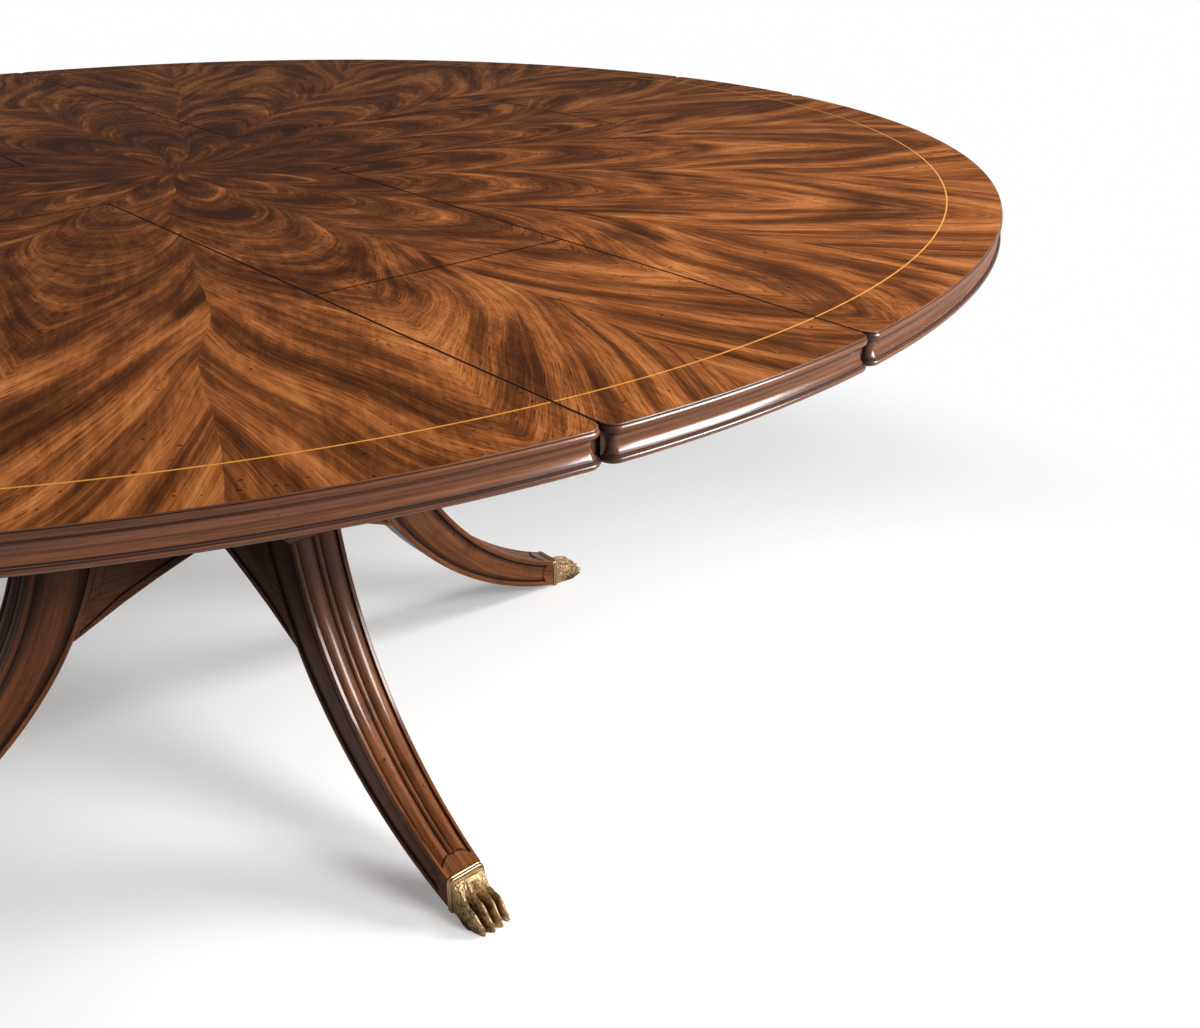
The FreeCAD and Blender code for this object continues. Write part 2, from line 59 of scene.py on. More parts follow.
# %% Camera at the photograph's angle
FRAME_WIDE = 1200
FRAME_HIGH = 1028
FOCAL_PIXELS = 1304.9
CENTRE_PIXEL = (662.5, 426.6)
SENSOR = 36.0
EYE = Vector((-0.6191, -1.5219, 1.0844))
VIEW_TURN = math.radians(-42.581)
VIEW_DIP = math.radians(23.144)


def put_in_scene(name, data):
    thing = bpy.data.objects.new(name, data)
    bpy.context.scene.collection.objects.link(thing)
    return thing


def make_camera():
    lens = bpy.data.cameras.new("camera")
    lens.sensor_width = SENSOR
    lens.lens = SENSOR * FOCAL_PIXELS / FRAME_WIDE
    lens.shift_x = (FRAME_WIDE / 2 - CENTRE_PIXEL[0]) / FRAME_WIDE
    lens.shift_y = (CENTRE_PIXEL[1] - FRAME_HIGH / 2) / FRAME_WIDE
    camera = put_in_scene("camera", lens)
    camera.location = EYE
    camera.rotation_euler = (math.pi / 2 - VIEW_DIP, 0, VIEW_TURN)
    bpy.context.scene.camera = camera
    return camera


camera = make_camera()
print("lens:", round(camera.data.lens, 2), "mm")
print("shift:", round(camera.data.shift_x, 4), round(camera.data.shift_y, 4))

# %% [markdown]
# ## Shader maths as sums
#
# A finish is a web of nodes. Wiring them one by one hides the idea, so a small class wraps one
# socket and lets sums be written as sums: each operator adds the Math node that does it. All
# other nodes come from one method, which takes the settings first and the sockets after.

# %% One value
def sums(operation):
    """A method that puts a Math node between a value and another."""
    return lambda self, other: self.maths(operation, other)


class Value:
    """One number in a finish; sums on it add Math nodes."""

    def __init__(self, finish, socket):
        self.finish = finish
        self.socket = socket

    def maths(self, operation, *others):
        return self.finish.add("ShaderNodeMath", {"operation": operation}, [self, *others])

    def __rsub__(self, other):
        return self.finish.add("ShaderNodeMath", {"operation": "SUBTRACT"}, [other, self])

    def __abs__(self):
        return self.maths("ABSOLUTE")

    __add__ = __radd__ = sums("ADD")
    __mul__ = __rmul__ = sums("MULTIPLY")
    __sub__ = sums("SUBTRACT")
    __truediv__ = sums("DIVIDE")
    __pow__ = sums("POWER")

    def between(self, low, high):
        """Nought below low, one above high, and a smooth rise between them."""
        sockets = {"Value": self, "From Min": low, "From Max": high}
        return self.finish.add("ShaderNodeMapRange", {"interpolation_type": "SMOOTHSTEP"}, sockets)


print("beside sums, a value has:", [name for name in vars(Value) if not name.startswith("_")])

# %% A finish
class Finish:
    """A material built round one Principled shader."""

    def __init__(self, name, **constants):
        self.material = bpy.data.materials.new(name)
        self.material.use_nodes = True
        self.tree = self.material.node_tree
        self.shader = self.tree.nodes["Principled BSDF"]
        for socket, value in constants.items():
            self.shader.inputs[socket.replace("_", " ")].default_value = value

    def add(self, kind, settings=None, sockets=None, output=0):
        """Add a node: its settings first, then the values or links of its sockets."""
        node = self.tree.nodes.new(kind)
        for key, value in (settings or {}).items():
            if key == "stops":
                self.set_stops(node.color_ramp, value)
            else:
                setattr(node, key, value)
        pairs = sockets.items() if isinstance(sockets, dict) else enumerate(sockets or [])
        for key, value in pairs:
            self.feed(node.inputs[key], value)
        return Value(self, node.outputs[output])

    def feed(self, socket, value):
        if isinstance(value, Value):
            self.tree.links.new(value.socket, socket)
        else:
            socket.default_value = value

    def set_stops(self, ramp, stops):
        while len(ramp.elements) < len(stops):
            ramp.elements.new(1.0)
        for element, (place, colour) in zip(ramp.elements, stops):
            element.position = place
            element.color = colour

    def place(self):
        return self.add("ShaderNodeTexCoord", output="Object")

    def parts(self, vector):
        split = self.add("ShaderNodeSeparateXYZ", sockets=[vector]).socket.node
        return [Value(self, socket) for socket in split.outputs]

    def vector(self, x, y, z=0.0):
        return self.add("ShaderNodeCombineXYZ", sockets=[x, y, z])

    def own(self, name):
        """A number that the piece's mesh carries on its vertices."""
        return self.add("ShaderNodeAttribute", {"attribute_name": name}, output="Fac")

    def noise(self, vector, scale, detail, rough, seed, output="Fac"):
        sockets = {"Vector": vector, "W": seed, "Scale": scale, "Detail": detail, "Roughness": rough}
        return self.add("ShaderNodeTexNoise", {"noise_dimensions": "4D"}, sockets, output)

    def cloud(self, vector, seed, scale=1.0):
        """Noise in soft patches, or in long streaks where the vector is stretched."""
        return self.noise(vector, scale, 3.0, 0.6, seed)

    def fibre(self, vector, seed, scale=1.0):
        """Noise for grain and hair."""
        return self.noise(vector, scale, 2.0, 0.6, seed)

    def spots(self, vector, seed, scale=1.0):
        """Plain noise, whose highest places are single small marks."""
        return self.noise(vector, scale, 1.0, 0.5, seed)

    def ramp(self, factor, tones):
        """Each tone is a place on the ramp and a colour as a screen shows it."""
        stops = [(place, shade(*colour)) for place, colour in tones]
        return self.add("ShaderNodeValToRGB", {"stops": stops}, [factor])

    def mix(self, factor, first, second):
        """Two colours mixed. The node's sockets 6 and 7 and its output 2 are the ones for colour."""
        return self.add("ShaderNodeMix", {"data_type": "RGBA"}, {0: factor, 6: first, 7: second}, 2)

    def move(self, vector, offset):
        return self.add("ShaderNodeVectorMath", {"operation": "ADD"}, [vector, offset])

    def stretch(self, vector, by):
        return self.add("ShaderNodeVectorMath", {"operation": "MULTIPLY"}, [vector, by])

    def bump(self, height, depth):
        sockets = {"Height": height, "Distance": depth, "Strength": 1.0}
        return self.add("ShaderNodeBump", sockets=sockets)

    def show(self, **links):
        for socket, value in links.items():
            self.feed(self.shader.inputs[socket.replace("_", " ")], value)
        return self.material


def shade(red, green, blue):
    """A colour as a screen shows it, turned into the light that the shader works with."""
    shares = [c / 255 for c in (red, green, blue)]
    light = [((c + 0.055) / 1.055) ** 2.4 if c > 0.04 else c / 12.92 for c in shares]
    return (*light, 1.0)


print("mid brown as light:", [round(c, 3) for c in shade(120, 70, 36)])

# %% [markdown]
# ## Flame veneer
#
# The top is laid in wedges of mahogany cut from the fork of a tree. Each wedge has a spine, and the
# grain leaves the spine like the barbs of a feather: outwards along it first, then bending aside.
# An image could show this, but sums can too. The angle round the middle is folded about the
# nearest spine, so that both sides mirror, and a curved coordinate follows the barbs. Noise that is
# fine across the barbs and long along them then draws flame, streak, grain and pores.

# %% The veneer of the top
SPINES = 16
SPINE_ANGLE = 2 * math.pi / SPINES
# How the figure wanders, first wide and then fine: scale, detail, reach in metres and seed.
WANDER = ((3.0, 1.0, 0.125, 4.0), (13.0, 2.0, 0.007, 6.0))
# Painted shade: how much the figure is darkened towards the middle of the top, where the light falls
# off.
PAINTED_SHADE_MIDDLE = 0.09
VENEER_TONES = [(0.27, (58, 28, 10)), (0.42, (98, 53, 22)), (0.53, (136, 78, 37)),
                (0.65, (172, 105, 55)), (0.82, (206, 138, 82))]


def flame_mahogany():
    finish = Finish("flame_mahogany", Specular_IOR_Level=0.012)
    here = finish.place()
    bent = here
    for scale, detail, reach, start in WANDER:
        sway = finish.move(finish.noise(here, scale, detail, 0.5, start, "Color"), (-0.5, -0.5, -0.5))
        bent = finish.move(bent, finish.stretch(sway, (reach, reach, 0.0)))
    x, y, _ = finish.parts(bent)
    radius = (x * x + y * y) ** 0.5
    turn = y.maths("ARCTAN2", x) * (1 / SPINE_ANGLE)
    side = turn - turn.maths("ROUND")
    across = abs(side) * radius * SPINE_ANGLE
    unlike = side.maths("SIGN") * (1 - abs(side) * 2) * 0.32
    seed = finish.spots(here, 77.0, 2.3) * 6.0 + unlike
    rim = radius.between(0.30, 0.95)
    spread = 0.026 + rim * 0.104
    leave = 1 - (across / spread * -1).maths("EXPONENT")
    barb = radius - leave * (0.105 + rim * 0.395) + across * across * (2.6 - rim * 2.6)

    def drawn(over_barbs, along_barbs, detail, rough, apart):
        stretched = finish.vector(barb * over_barbs, across * along_barbs)
        return finish.noise(stretched, 1.0, detail, rough, seed + apart)

    flame = drawn(14, 5, 2.5, 0.55, 0)
    streak = drawn(46, 8, 2.0, 0.55, 7)
    line = drawn(140, 14, 2.0, 0.6, 11)
    grain = drawn(620, 34, 2.0, 0.6, 15)
    curl = drawn(26, 190, 2.0, 0.6, 19)
    pores = drawn(620, 110, 1.0, 0.5, 23)
    mottle = finish.noise(here, 27.0, 3.0, 0.65, 31.0)
    figure = flame * 0.78 + streak * 0.40 + line * 0.32 + grain * 0.40 + curl * 0.22 - 0.57
    figure = figure + (mottle - 0.5) * (0.34 - rim * 0.24)
    # Painted shade: the figure is darkened towards the middle of the top, standing in for the light
    # falling off there.
    middle = 1 - radius.between(0.12, 0.70)
    figure = (figure - middle * PAINTED_SHADE_MIDDLE) * 1.15 - 0.072
    colour = finish.ramp(figure, VENEER_TONES)
    fleck = pores.between(0.60, 0.68) * 0.75
    speck = finish.spots(here, 57.0, 170.0).between(0.70, 0.74) * 0.85
    colour = finish.mix(fleck, colour, shade(44, 21, 9))
    colour = finish.mix(speck, colour, shade(22, 10, 5))
    rough = 0.40 + grain * 0.10 + fleck * 0.1
    bump = finish.bump(grain * -0.4 - fleck - speck, 0.00012)
    return finish.show(Base_Color=colour, Roughness=rough, Normal=bump)


veneer = flame_mahogany()
print("veneer nodes:", len(veneer.node_tree.nodes))

# %% [markdown]
# ## Polished mahogany for the edge
#
# The moulded edge is solid timber, stained and polished to a higher gloss than the top. The quirks and
# the edge beside the seams are darkened, partly as dark wax and partly as painted shade. The profile is
# the same all round, so the height alone tells where the quirks are, and the grain runs round the rim.

# %% The moulded edge
rim_low, rim_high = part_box("leaf_right_moulding")
TOP = rim_high.z
UNDER = rim_low.z
RIM = rim_high.x
THICK = TOP - UNDER
LEAF_HALF = rim_high.y
# Where the quirks of the moulding are, darkened with wax and painted shade: drop and half height as
# shares of the thickness.
QUIRKS = ((0.046, 0.026), (0.255, 0.030), (0.800, 0.022), (0.845, 0.022))
EDGE_TONES = [(0.28, (50, 27, 15)), (0.46, (86, 49, 28)), (0.62, (122, 73, 44)), (0.78, (150, 95, 60))]


def height_band(z, drop, half):
    """One near this share of the thickness below the top, nought elsewhere."""
    level = TOP - drop * THICK
    return 1 - (abs(z - level) / (half * THICK)).between(0.35, 1.0)


def edge_mahogany():
    finish = Finish("edge_mahogany", Specular_IOR_Level=0.45, Coat_Roughness=0.1)
    here = finish.place()
    x, y, z = finish.parts(here)
    radius = (x * x + y * y) ** 0.5
    round_rim = y.maths("ARCTAN2", x) * RIM
    run = finish.vector(round_rim * 5, radius * 160, z * 330)
    streak = finish.cloud(run, 3.0)
    grain = finish.fibre(finish.vector(round_rim * 42, radius * 700, z * 1500), 8.0)
    colour = finish.ramp(streak * 0.75 + grain * 0.25, EDGE_TONES)
    # Dark wax and painted shade: the quirks of the moulding are darkened.
    quirk_wax_and_shade = sum(height_band(z, drop, half) for drop, half in QUIRKS)
    patchy = finish.cloud(here, 12.0, 38.0)
    dark = quirk_wax_and_shade * (0.60 + patchy * 0.6)
    nick = finish.spots(here, 19.0, 120.0).between(0.74, 0.79)
    # Painted shade with dark wax: the edge is darkened close to the seams, where the gap between pieces
    # is in shade.
    aside = abs(abs(x) - LEAF_HALF).maths("MINIMUM", abs(abs(y) - LEAF_HALF))
    dark = dark + (1 - aside.between(0.001, 0.011)) * 0.8
    wax_and_shade = dark.maths("MINIMUM", 1.0)
    colour = finish.mix(dark.maths("MINIMUM", 0.9), colour, shade(34, 17, 10))
    colour = finish.mix(nick * 0.85, colour, shade(28, 14, 9))
    rough = 0.19 + patchy * 0.10 + wax_and_shade * 0.25
    polish = 0.30 - wax_and_shade * 0.28
    bump = finish.bump(grain * 0.3 - nick, 0.00008)
    return finish.show(Base_Color=colour, Roughness=rough, Coat_Weight=polish, Normal=bump)


def seam_wax_and_shade():
    """The plain sides that meet at the seams: the same timber, darkened by old polish in the joints and
    as painted shade of the gap.
    """
    finish = Finish("seam_wax_and_shade", Specular_IOR_Level=0.05)
    here = finish.place()
    grain = finish.cloud(finish.stretch(here, (60, 60, 900)), 41.0)
    # Painted shade: the seam sides are far darker than the rest of the timber, so that the gaps read
    # dark.
    colour = finish.ramp(grain, [(0.3, (14, 7, 4)), (0.6, (34, 18, 10)), (0.8, (62, 36, 22))])
    return finish.show(Base_Color=colour, Roughness=0.4 + grain * 0.2)


edge_finish = edge_mahogany()
seam_wax_and_shade_finish = seam_wax_and_shade()
print("edge: rim", round(RIM, 3), "thickness", round(THICK, 4))

# %% [markdown]
# ## Plain timber under the top
#
# What nobody sees is left in oiled timber: the undersides, the bearers, the guides and the runners.
# The grain runs along each bar, so the finish is made once for each heading it is needed in.

# %% Timber with the grain along a heading
def plain_timber(name, heading, tones):
    finish = Finish(name, Specular_IOR_Level=0.35)
    turned = finish.add("ShaderNodeVectorRotate", {"rotation_type": "Z_AXIS"},
                        {"Vector": finish.place(), "Angle": -math.radians(heading)})
    sway = finish.stretch(finish.noise(turned, 2.5, 2.0, 0.5, 1.0, "Color"), (0.0, 0.03, 0.03))
    bent = finish.move(turned, sway)
    rings = finish.cloud(finish.stretch(bent, (2.2, 46, 46)), 5.0)
    grain = finish.fibre(finish.stretch(turned, (26, 620, 620)), 9.0)
    figure = rings * 0.7 + grain * 0.3
    grime = finish.cloud(finish.place(), 14.0, 9.0).between(0.45, 0.75)
    colour = finish.ramp(figure, zip((0.26, 0.5, 0.76), tones))
    colour = finish.mix(grime * 0.35, colour, shade(*tones[0]))
    bump = finish.bump(grain, 0.0002)
    return finish.show(Base_Color=colour, Roughness=0.5 + grain * 0.15, Normal=bump)


GEAR_TONES = ((74, 44, 25), (118, 74, 42), (150, 100, 60))
gear_timber = {heading: plain_timber("gear_timber_" + word, heading, GEAR_TONES)
               for heading, word in ((0, "x"), (90, "y"), (45, "up"), (-45, "down"))}
print("gear timber headings:", sorted(gear_timber))

# %% [markdown]
# ## The edge profile, swept round a piece
#
# Each piece of the top is a flat slab whose rim is moulded and whose other sides are plain. One
# upright row of points follows the moulding from the arris down. The row is spun about the middle
# for the rim and about the corners for their rounding, and extruded along the plain sides, where it
# is pushed out flat. At the end the top and the underside are filled.

# %% Points of the moulding
# Inset and drop as shares of the thickness. Two points are an arc through the first to the second.
EDGE_START_SHARE = (0.064, 0.0)
EDGE_STEPS_SHARE = (((0.041, 0.009), (0.032, 0.032)),
                    ((0.056, 0.046),),
                    ((0.0, 0.150), (0.056, 0.245)),
                    ((0.100, 0.262),),
                    ((0.200, 0.550), (0.085, 0.800)),
                    ((0.050, 0.800),),
                    ((0.050, 0.838),),
                    ((0.0, 0.915), (0.055, 0.985)),
                    ((0.055, 1.0),))
ARC_STEPS = 10
STRING_PROUD = 0.00005
TOP_SKIN = TOP - STRING_PROUD


def arc_through(start, middle, end, steps):
    """Points after the start on the arc through three points in a plane."""
    a, b, c = (Vector(p) for p in (start, middle, end))
    d = 2 * (a.x * (b.y - c.y) + b.x * (c.y - a.y) + c.x * (a.y - b.y))
    centre = Vector((a.dot(a) * (b.y - c.y) + b.dot(b) * (c.y - a.y) + c.dot(c) * (a.y - b.y),
                     a.dot(a) * (c.x - b.x) + b.dot(b) * (a.x - c.x) + c.dot(c) * (b.x - a.x))) / d
    sweep = (a - centre).angle_signed(b - centre) + (b - centre).angle_signed(c - centre)
    return [centre + Matrix.Rotation(-sweep * k / steps, 2) @ (a - centre) for k in range(1, steps + 1)]


def edge_profile():
    """Inset and height of each point of the moulding, from the arris down."""
    shares = [Vector(EDGE_START_SHARE)]
    for step in EDGE_STEPS_SHARE:
        if len(step) == 1:
            shares.append(Vector(step[0]))
        else:
            shares += arc_through(shares[-1], step[0], step[1], ARC_STEPS)
    return [(inset * THICK, TOP_SKIN - drop * (TOP_SKIN - UNDER)) for inset, drop in shares]


profile = edge_profile()
deepest = max(inset for inset, _ in profile)
print("points in the moulding:", len(profile), "deepest inset:", round(deepest * 1000, 2), "mm")

# %% Helpers for meshes
CREASE = 30
MERGE = 1e-6
FLAT = 0.999
NEAR = 1e-5


def of_kind(geometry, kind):
    return [part for part in geometry if isinstance(part, kind)]


def fill_open(bm):
    """Put a face in every open loop."""
    bmesh.ops.holes_fill(bm, edges=[edge for edge in bm.edges if edge.is_boundary], sides=0)


def seal(bm):
    """Merge points that lie together, fill what is open and turn the faces outwards."""
    bmesh.ops.remove_doubles(bm, verts=bm.verts, dist=MERGE)
    fill_open(bm)
    bmesh.ops.recalc_face_normals(bm, faces=bm.faces)


def cut_away(bm, place, outwards):
    """Take off everything beyond a plane."""
    geometry = bm.verts[:] + bm.edges[:] + bm.faces[:]
    bmesh.ops.bisect_plane(bm, geom=geometry, plane_co=place, plane_no=outwards, clear_outer=True)


def turn_about_middle(bm, degrees, axis="Z"):
    turned = Matrix.Rotation(math.radians(degrees), 3, axis)
    bmesh.ops.rotate(bm, verts=bm.verts, cent=(0, 0, 0), matrix=turned)


def as_piece(bm, piece_name, finishes, crease):
    """Turn a bmesh into an object in the scene, with edges sharper than the crease kept sharp."""
    mesh = bpy.data.meshes.new(piece_name)
    bm.to_mesh(mesh)
    bm.free()
    mesh.set_sharp_from_angle(angle=math.radians(crease))
    for finish in finishes:
        mesh.materials.append(finish)
    return put_in_scene(piece_name, mesh)


print("points closer than", MERGE * 1000, "mm are merged, edges over", CREASE, "degrees stay sharp")

# %% A slab with a swept edge
SEAM_SOFTENING = 0.0011


class Sweep:
    """One upright row of points, carried round the outline of a slab."""

    def __init__(self, x, y):
        self.bm = bmesh.new()
        self.order = self.bm.verts.layers.int.new("order")
        self.plain = self.bm.verts.layers.int.new("plain")
        row = [self.bm.verts.new((x, y, height)) for _, height in profile]
        for number, vert in enumerate(row):
            vert[self.order] = number
            vert[self.plain] = 1
        self.edges = [self.bm.edges.new(pair) for pair in zip(row, row[1:])]

    def extrude(self):
        made = bmesh.ops.extrude_edge_only(self.bm, edges=self.edges)["geom"]
        verts = of_kind(made, bmesh.types.BMVert)
        fresh = set(verts)
        self.edges = [edge for edge in of_kind(made, bmesh.types.BMEdge) if fresh.issuperset(edge.verts)]
        return verts

    def go(self, x, y):
        """Straight on by this much."""
        bmesh.ops.translate(self.bm, verts=self.extrude(), vec=(x, y, 0))

    def mould(self, x, y, plain):
        """Push the row in to the moulding, or back out to a plain side, along a heading."""
        for vert in self.extrude():
            inset = profile[vert[self.order]][0]
            vert.co += Vector((x, y, 0)) * inset
            vert[self.plain] = plain

    def spin(self, centre, angle, steps):
        around = dict.fromkeys(vert for edge in self.edges for vert in edge.verts)
        made = bmesh.ops.spin(self.bm, geom=list(around) + self.edges, cent=(*centre, 0),
                              axis=(0, 0, 1), angle=angle, steps=steps, use_merge=False)
        self.edges = of_kind(made["geom_last"], bmesh.types.BMEdge)

    def close(self):
        """Join the last row to the first, fill both faces and soften the seams' upper edges."""
        seal(self.bm)
        seams = [edge for edge in self.bm.edges
                 if all(vert[self.plain] and vert[self.order] == 0 for vert in edge.verts)]
        bmesh.ops.bevel(self.bm, geom=seams, offset=SEAM_SOFTENING, segments=2, profile=0.5,
                        affect="EDGES", material=-1)
        return self.bm


print("seams are softened by", SEAM_SOFTENING * 1000, "mm")

# %% Finishes on a slab
RIM_BAND = 0.025
VENEERED, MOULDED, UNDERNEATH, AT_SEAM = range(4)


def flat_up(face):
    return face.normal.z > FLAT and abs(face.calc_center_median().z - TOP_SKIN) < NEAR


def dress_slab(bm, piece_name, turn):
    """Turn the slab to its side and give its top, its edge and its underside their finishes."""
    turn_about_middle(bm, turn)
    for face in bm.faces:
        reach = face.calc_center_median().xy.length
        face.material_index = MOULDED if reach > RIM - RIM_BAND else AT_SEAM
        if flat_up(face):
            face.material_index = VENEERED
        elif face.normal.z < -FLAT:
            face.material_index = UNDERNEATH
    slab = as_piece(bm, piece_name, [veneer, edge_finish, gear_timber[0], seam_wax_and_shade_finish], CREASE)
    for polygon in slab.data.polygons:
        polygon.use_smooth = polygon.material_index == MOULDED
    return slab


print("the moulded finish lies beyond", round(RIM - RIM_BAND, 3), "m from the middle")

# %% [markdown]
# ## Four quarters
#
# A quarter has two straight sides that meet in a slightly eased corner, and a rim whose two ends
# are rounded so that the moulding returns into the seam. Only one is drawn, the one at the back
# right. The others are the same sweep turned about the middle.

# %% Quarters of the top
QUARTER_TURNS = {"back_right": 0, "back_left": 90, "front_left": 180, "front_right": -90}
SIDE_TURNS = {"right": 0, "back": 90, "left": 180, "front": -90}
RIM_CORNER = 0.011
INNER_CORNER = 0.004
GAP_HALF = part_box("quarter_back_right_panel")[0].x
CROSS_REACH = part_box("centre_cross")[1].x
LEAF_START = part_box("leaf_right_panel")[0].x
RIM_STEPS_QUARTER = 56
RIM_STEPS_LEAF = 16
CORNER_STEPS = 10


def rim_corner(side):
    """Middle of the rounding between the rim and a straight side at this distance."""
    return Vector((math.sqrt((RIM - RIM_CORNER) ** 2 - side ** 2), side))


def quarter_slab():
    first = rim_corner(GAP_HALF + RIM_CORNER)
    last = Vector((first.y, first.x))
    lean = math.atan2(first.y, first.x)
    rest = math.pi / 2 - lean
    inner = Vector((GAP_HALF + INNER_CORNER, GAP_HALF + INNER_CORNER))
    sweep = Sweep(inner.x, GAP_HALF)
    sweep.go(first.x - inner.x, 0)
    sweep.mould(0, 1, 0)
    sweep.spin(first, math.pi / 2 + lean, CORNER_STEPS)
    sweep.spin((0, 0), rest - lean, RIM_STEPS_QUARTER)
    sweep.spin(last, math.pi - rest, CORNER_STEPS)
    sweep.mould(-1, 0, 1)
    sweep.go(0, inner.y - last.y)
    sweep.spin(inner, math.pi / 2, CORNER_STEPS // 2)
    return sweep.close()


for name, turn in QUARTER_TURNS.items():
    body = "quarter_" + name
    piece = dress_slab(quarter_slab(), body + "_top", turn)
    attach(piece, body)
    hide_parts(body + "_panel", body + "_moulding")
print("one quarter:", len(piece.data.polygons), "faces")

# %% [markdown]
# ## Four leaves and the cross between them
#
# A leaf drops into the gap between two quarters. It has square inner corners and the same moulded
# rim. The cross in the middle has no rim at all, so its sweep only goes straight, round twelve
# corners.

# %% Leaves
def leaf_slab():
    upper = rim_corner(LEAF_HALF - RIM_CORNER)
    lower = Vector((upper.x, -upper.y))
    lean = math.atan2(upper.y, upper.x)
    sweep = Sweep(LEAF_START, -LEAF_HALF)
    sweep.go(lower.x - LEAF_START, 0)
    sweep.mould(0, 1, 0)
    sweep.spin(lower, math.pi / 2 - lean, CORNER_STEPS)
    sweep.spin((0, 0), 2 * lean, RIM_STEPS_LEAF)
    sweep.spin(upper, math.pi / 2 - lean, CORNER_STEPS)
    sweep.mould(0, 1, 1)
    sweep.go(LEAF_START - upper.x, 0)
    sweep.go(0, -2 * LEAF_HALF)
    return sweep.close()


for name, turn in SIDE_TURNS.items():
    body = "leaf_" + name
    piece = dress_slab(leaf_slab(), body + "_top", turn)
    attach(piece, body)
    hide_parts(body + "_panel", body + "_moulding")
print("one leaf:", len(piece.data.polygons), "faces")

# %% Centre cross
def cross_slab():
    arm = CROSS_REACH - LEAF_HALF
    across = 2 * LEAF_HALF
    sweep = Sweep(LEAF_HALF, -CROSS_REACH)
    heading = Vector((0, 1))
    for _ in range(4):
        left = Vector((-heading.y, heading.x))
        sweep.go(*heading * arm)
        sweep.go(*-left * arm)
        sweep.go(*heading * across)
        heading = left
    return sweep.close()


cross = dress_slab(cross_slab(), "centre_cross_top", 0)
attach(cross, "centre_cross")
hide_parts("centre_cross")
print("cross:", len(cross.data.polygons), "faces")

# %% [markdown]
# ## Boxwood stringing
#
# A thin line of pale boxwood is let into the top a little way in from the rim. It is a narrow strip
# spun about the middle, and each length is cut off square to the sides of its own piece. It stands
# a hair proud of the veneer, as a string does once the polish has sunk.

# %% Boxwood
def boxwood_finish():
    finish = Finish("boxwood", Specular_IOR_Level=0.1)
    here = finish.place()
    x, y, _ = finish.parts(here)
    along = y.maths("ARCTAN2", x)
    tone = finish.cloud(finish.vector(along * 60, 0.0), 2.0)
    grain = finish.spots(here, 6.0, 900.0)
    tones = [(0.3, (176, 110, 36)), (0.5, (210, 142, 52)), (0.72, (228, 166, 74))]
    colour = finish.ramp(tone * 0.7 + grain * 0.3, tones)
    return finish.show(Base_Color=colour, Roughness=0.28 + grain * 0.15)


boxwood = boxwood_finish()
print("boxwood nodes:", len(boxwood.node_tree.nodes))

# %% Strings let into the top
STRING_INNER = 0.8917
STRING_WIDTH = 0.0016
STRING_SUNK = 0.0008
STRING_STEPS = 64


def string_strip(start, end, cuts):
    """A strip spun between two angles, then trimmed by upright planes."""
    bm = bmesh.new()
    at = Matrix.Rotation(start, 3, "Z")
    corners = ((0, -STRING_SUNK), (STRING_WIDTH, -STRING_SUNK), (STRING_WIDTH, 0), (0, 0))
    row = [bm.verts.new(at @ Vector((STRING_INNER + out, 0, TOP + up))) for out, up in corners]
    ring = [bm.edges.new((row[k], row[(k + 1) % 4])) for k in range(4)]
    bmesh.ops.spin(bm, geom=row + ring, cent=(0, 0, 0), axis=(0, 0, 1), angle=end - start,
                   steps=STRING_STEPS, use_merge=False)
    for place, outwards in cuts:
        cut_away(bm, place, outwards)
    fill_open(bm)
    bmesh.ops.recalc_face_normals(bm, faces=bm.faces)
    return bm


def lay_string(body, turn, start, end, cuts):
    bm = string_strip(start, end, cuts)
    turn_about_middle(bm, turn)
    strip = as_piece(bm, body + "_stringing", [boxwood], CREASE)
    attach(strip, body)
    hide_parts(body + "_string")
    return strip


leaf_side = LEAF_HALF - SEAM_SOFTENING
quarter_side = GAP_HALF + SEAM_SOFTENING
SPARE = math.radians(1)
leaf_lean = math.asin(leaf_side / STRING_INNER) + SPARE
quarter_lean = math.asin(quarter_side / STRING_INNER) - SPARE
for name, turn in SIDE_TURNS.items():
    lay_string("leaf_" + name, turn, -leaf_lean, leaf_lean,
               [((0, leaf_side, 0), (0, 1, 0)), ((0, -leaf_side, 0), (0, -1, 0))])
for name, turn in QUARTER_TURNS.items():
    lay_string("quarter_" + name, turn, quarter_lean, math.pi / 2 - quarter_lean,
               [((0, quarter_side, 0), (0, -1, 0)), ((quarter_side, 0, 0), (-1, 0, 0))])
print("string at", round(STRING_INNER * 1000, 1), "mm from the middle,", STRING_WIDTH * 1000, "mm wide")

# %% [markdown]
# ## A skin that wraps round
#
# Legs and paws are both skins that go round a path. A flat grid does for either: one way along it is
# the way down the leg, the other is once round. Each vertex is moved to its place by a rule, the two
# long sides meet and are merged, and the open ends are filled. The skin also carries a few numbers
# for its finish: how far along and across a point is, and how deep it lies in a hollow.

# %% Wrap a grid into a closed skin
MARKS = ("along", "across", "recess")


def wrapped_skin(rows, columns, rule):
    """A closed skin from a rule that gives place, along, across and recess for row and column."""
    bm = bmesh.new()
    bmesh.ops.create_grid(bm, x_segments=rows, y_segments=columns, size=1.0)
    marks = [bm.verts.layers.float.new(word) for word in MARKS]
    for vert in bm.verts:
        row = round((vert.co.x + 1) / 2 * rows)
        column = round((vert.co.y + 1) / 2 * columns)
        place, *numbers = rule(row, column % columns)
        vert.co = place
        for mark, number in zip(marks, numbers):
            vert[mark] = number
    seal(bm)
    for face in bm.faces:
        face.smooth = True
    return bm


def ease(value, low, high):
    """Nought below low, one above high, smooth between."""
    share = min(1.0, max(0.0, (value - low) / (high - low)))
    return share * share * (3 - 2 * share)


print("numbers on each vertex of a skin:", MARKS)

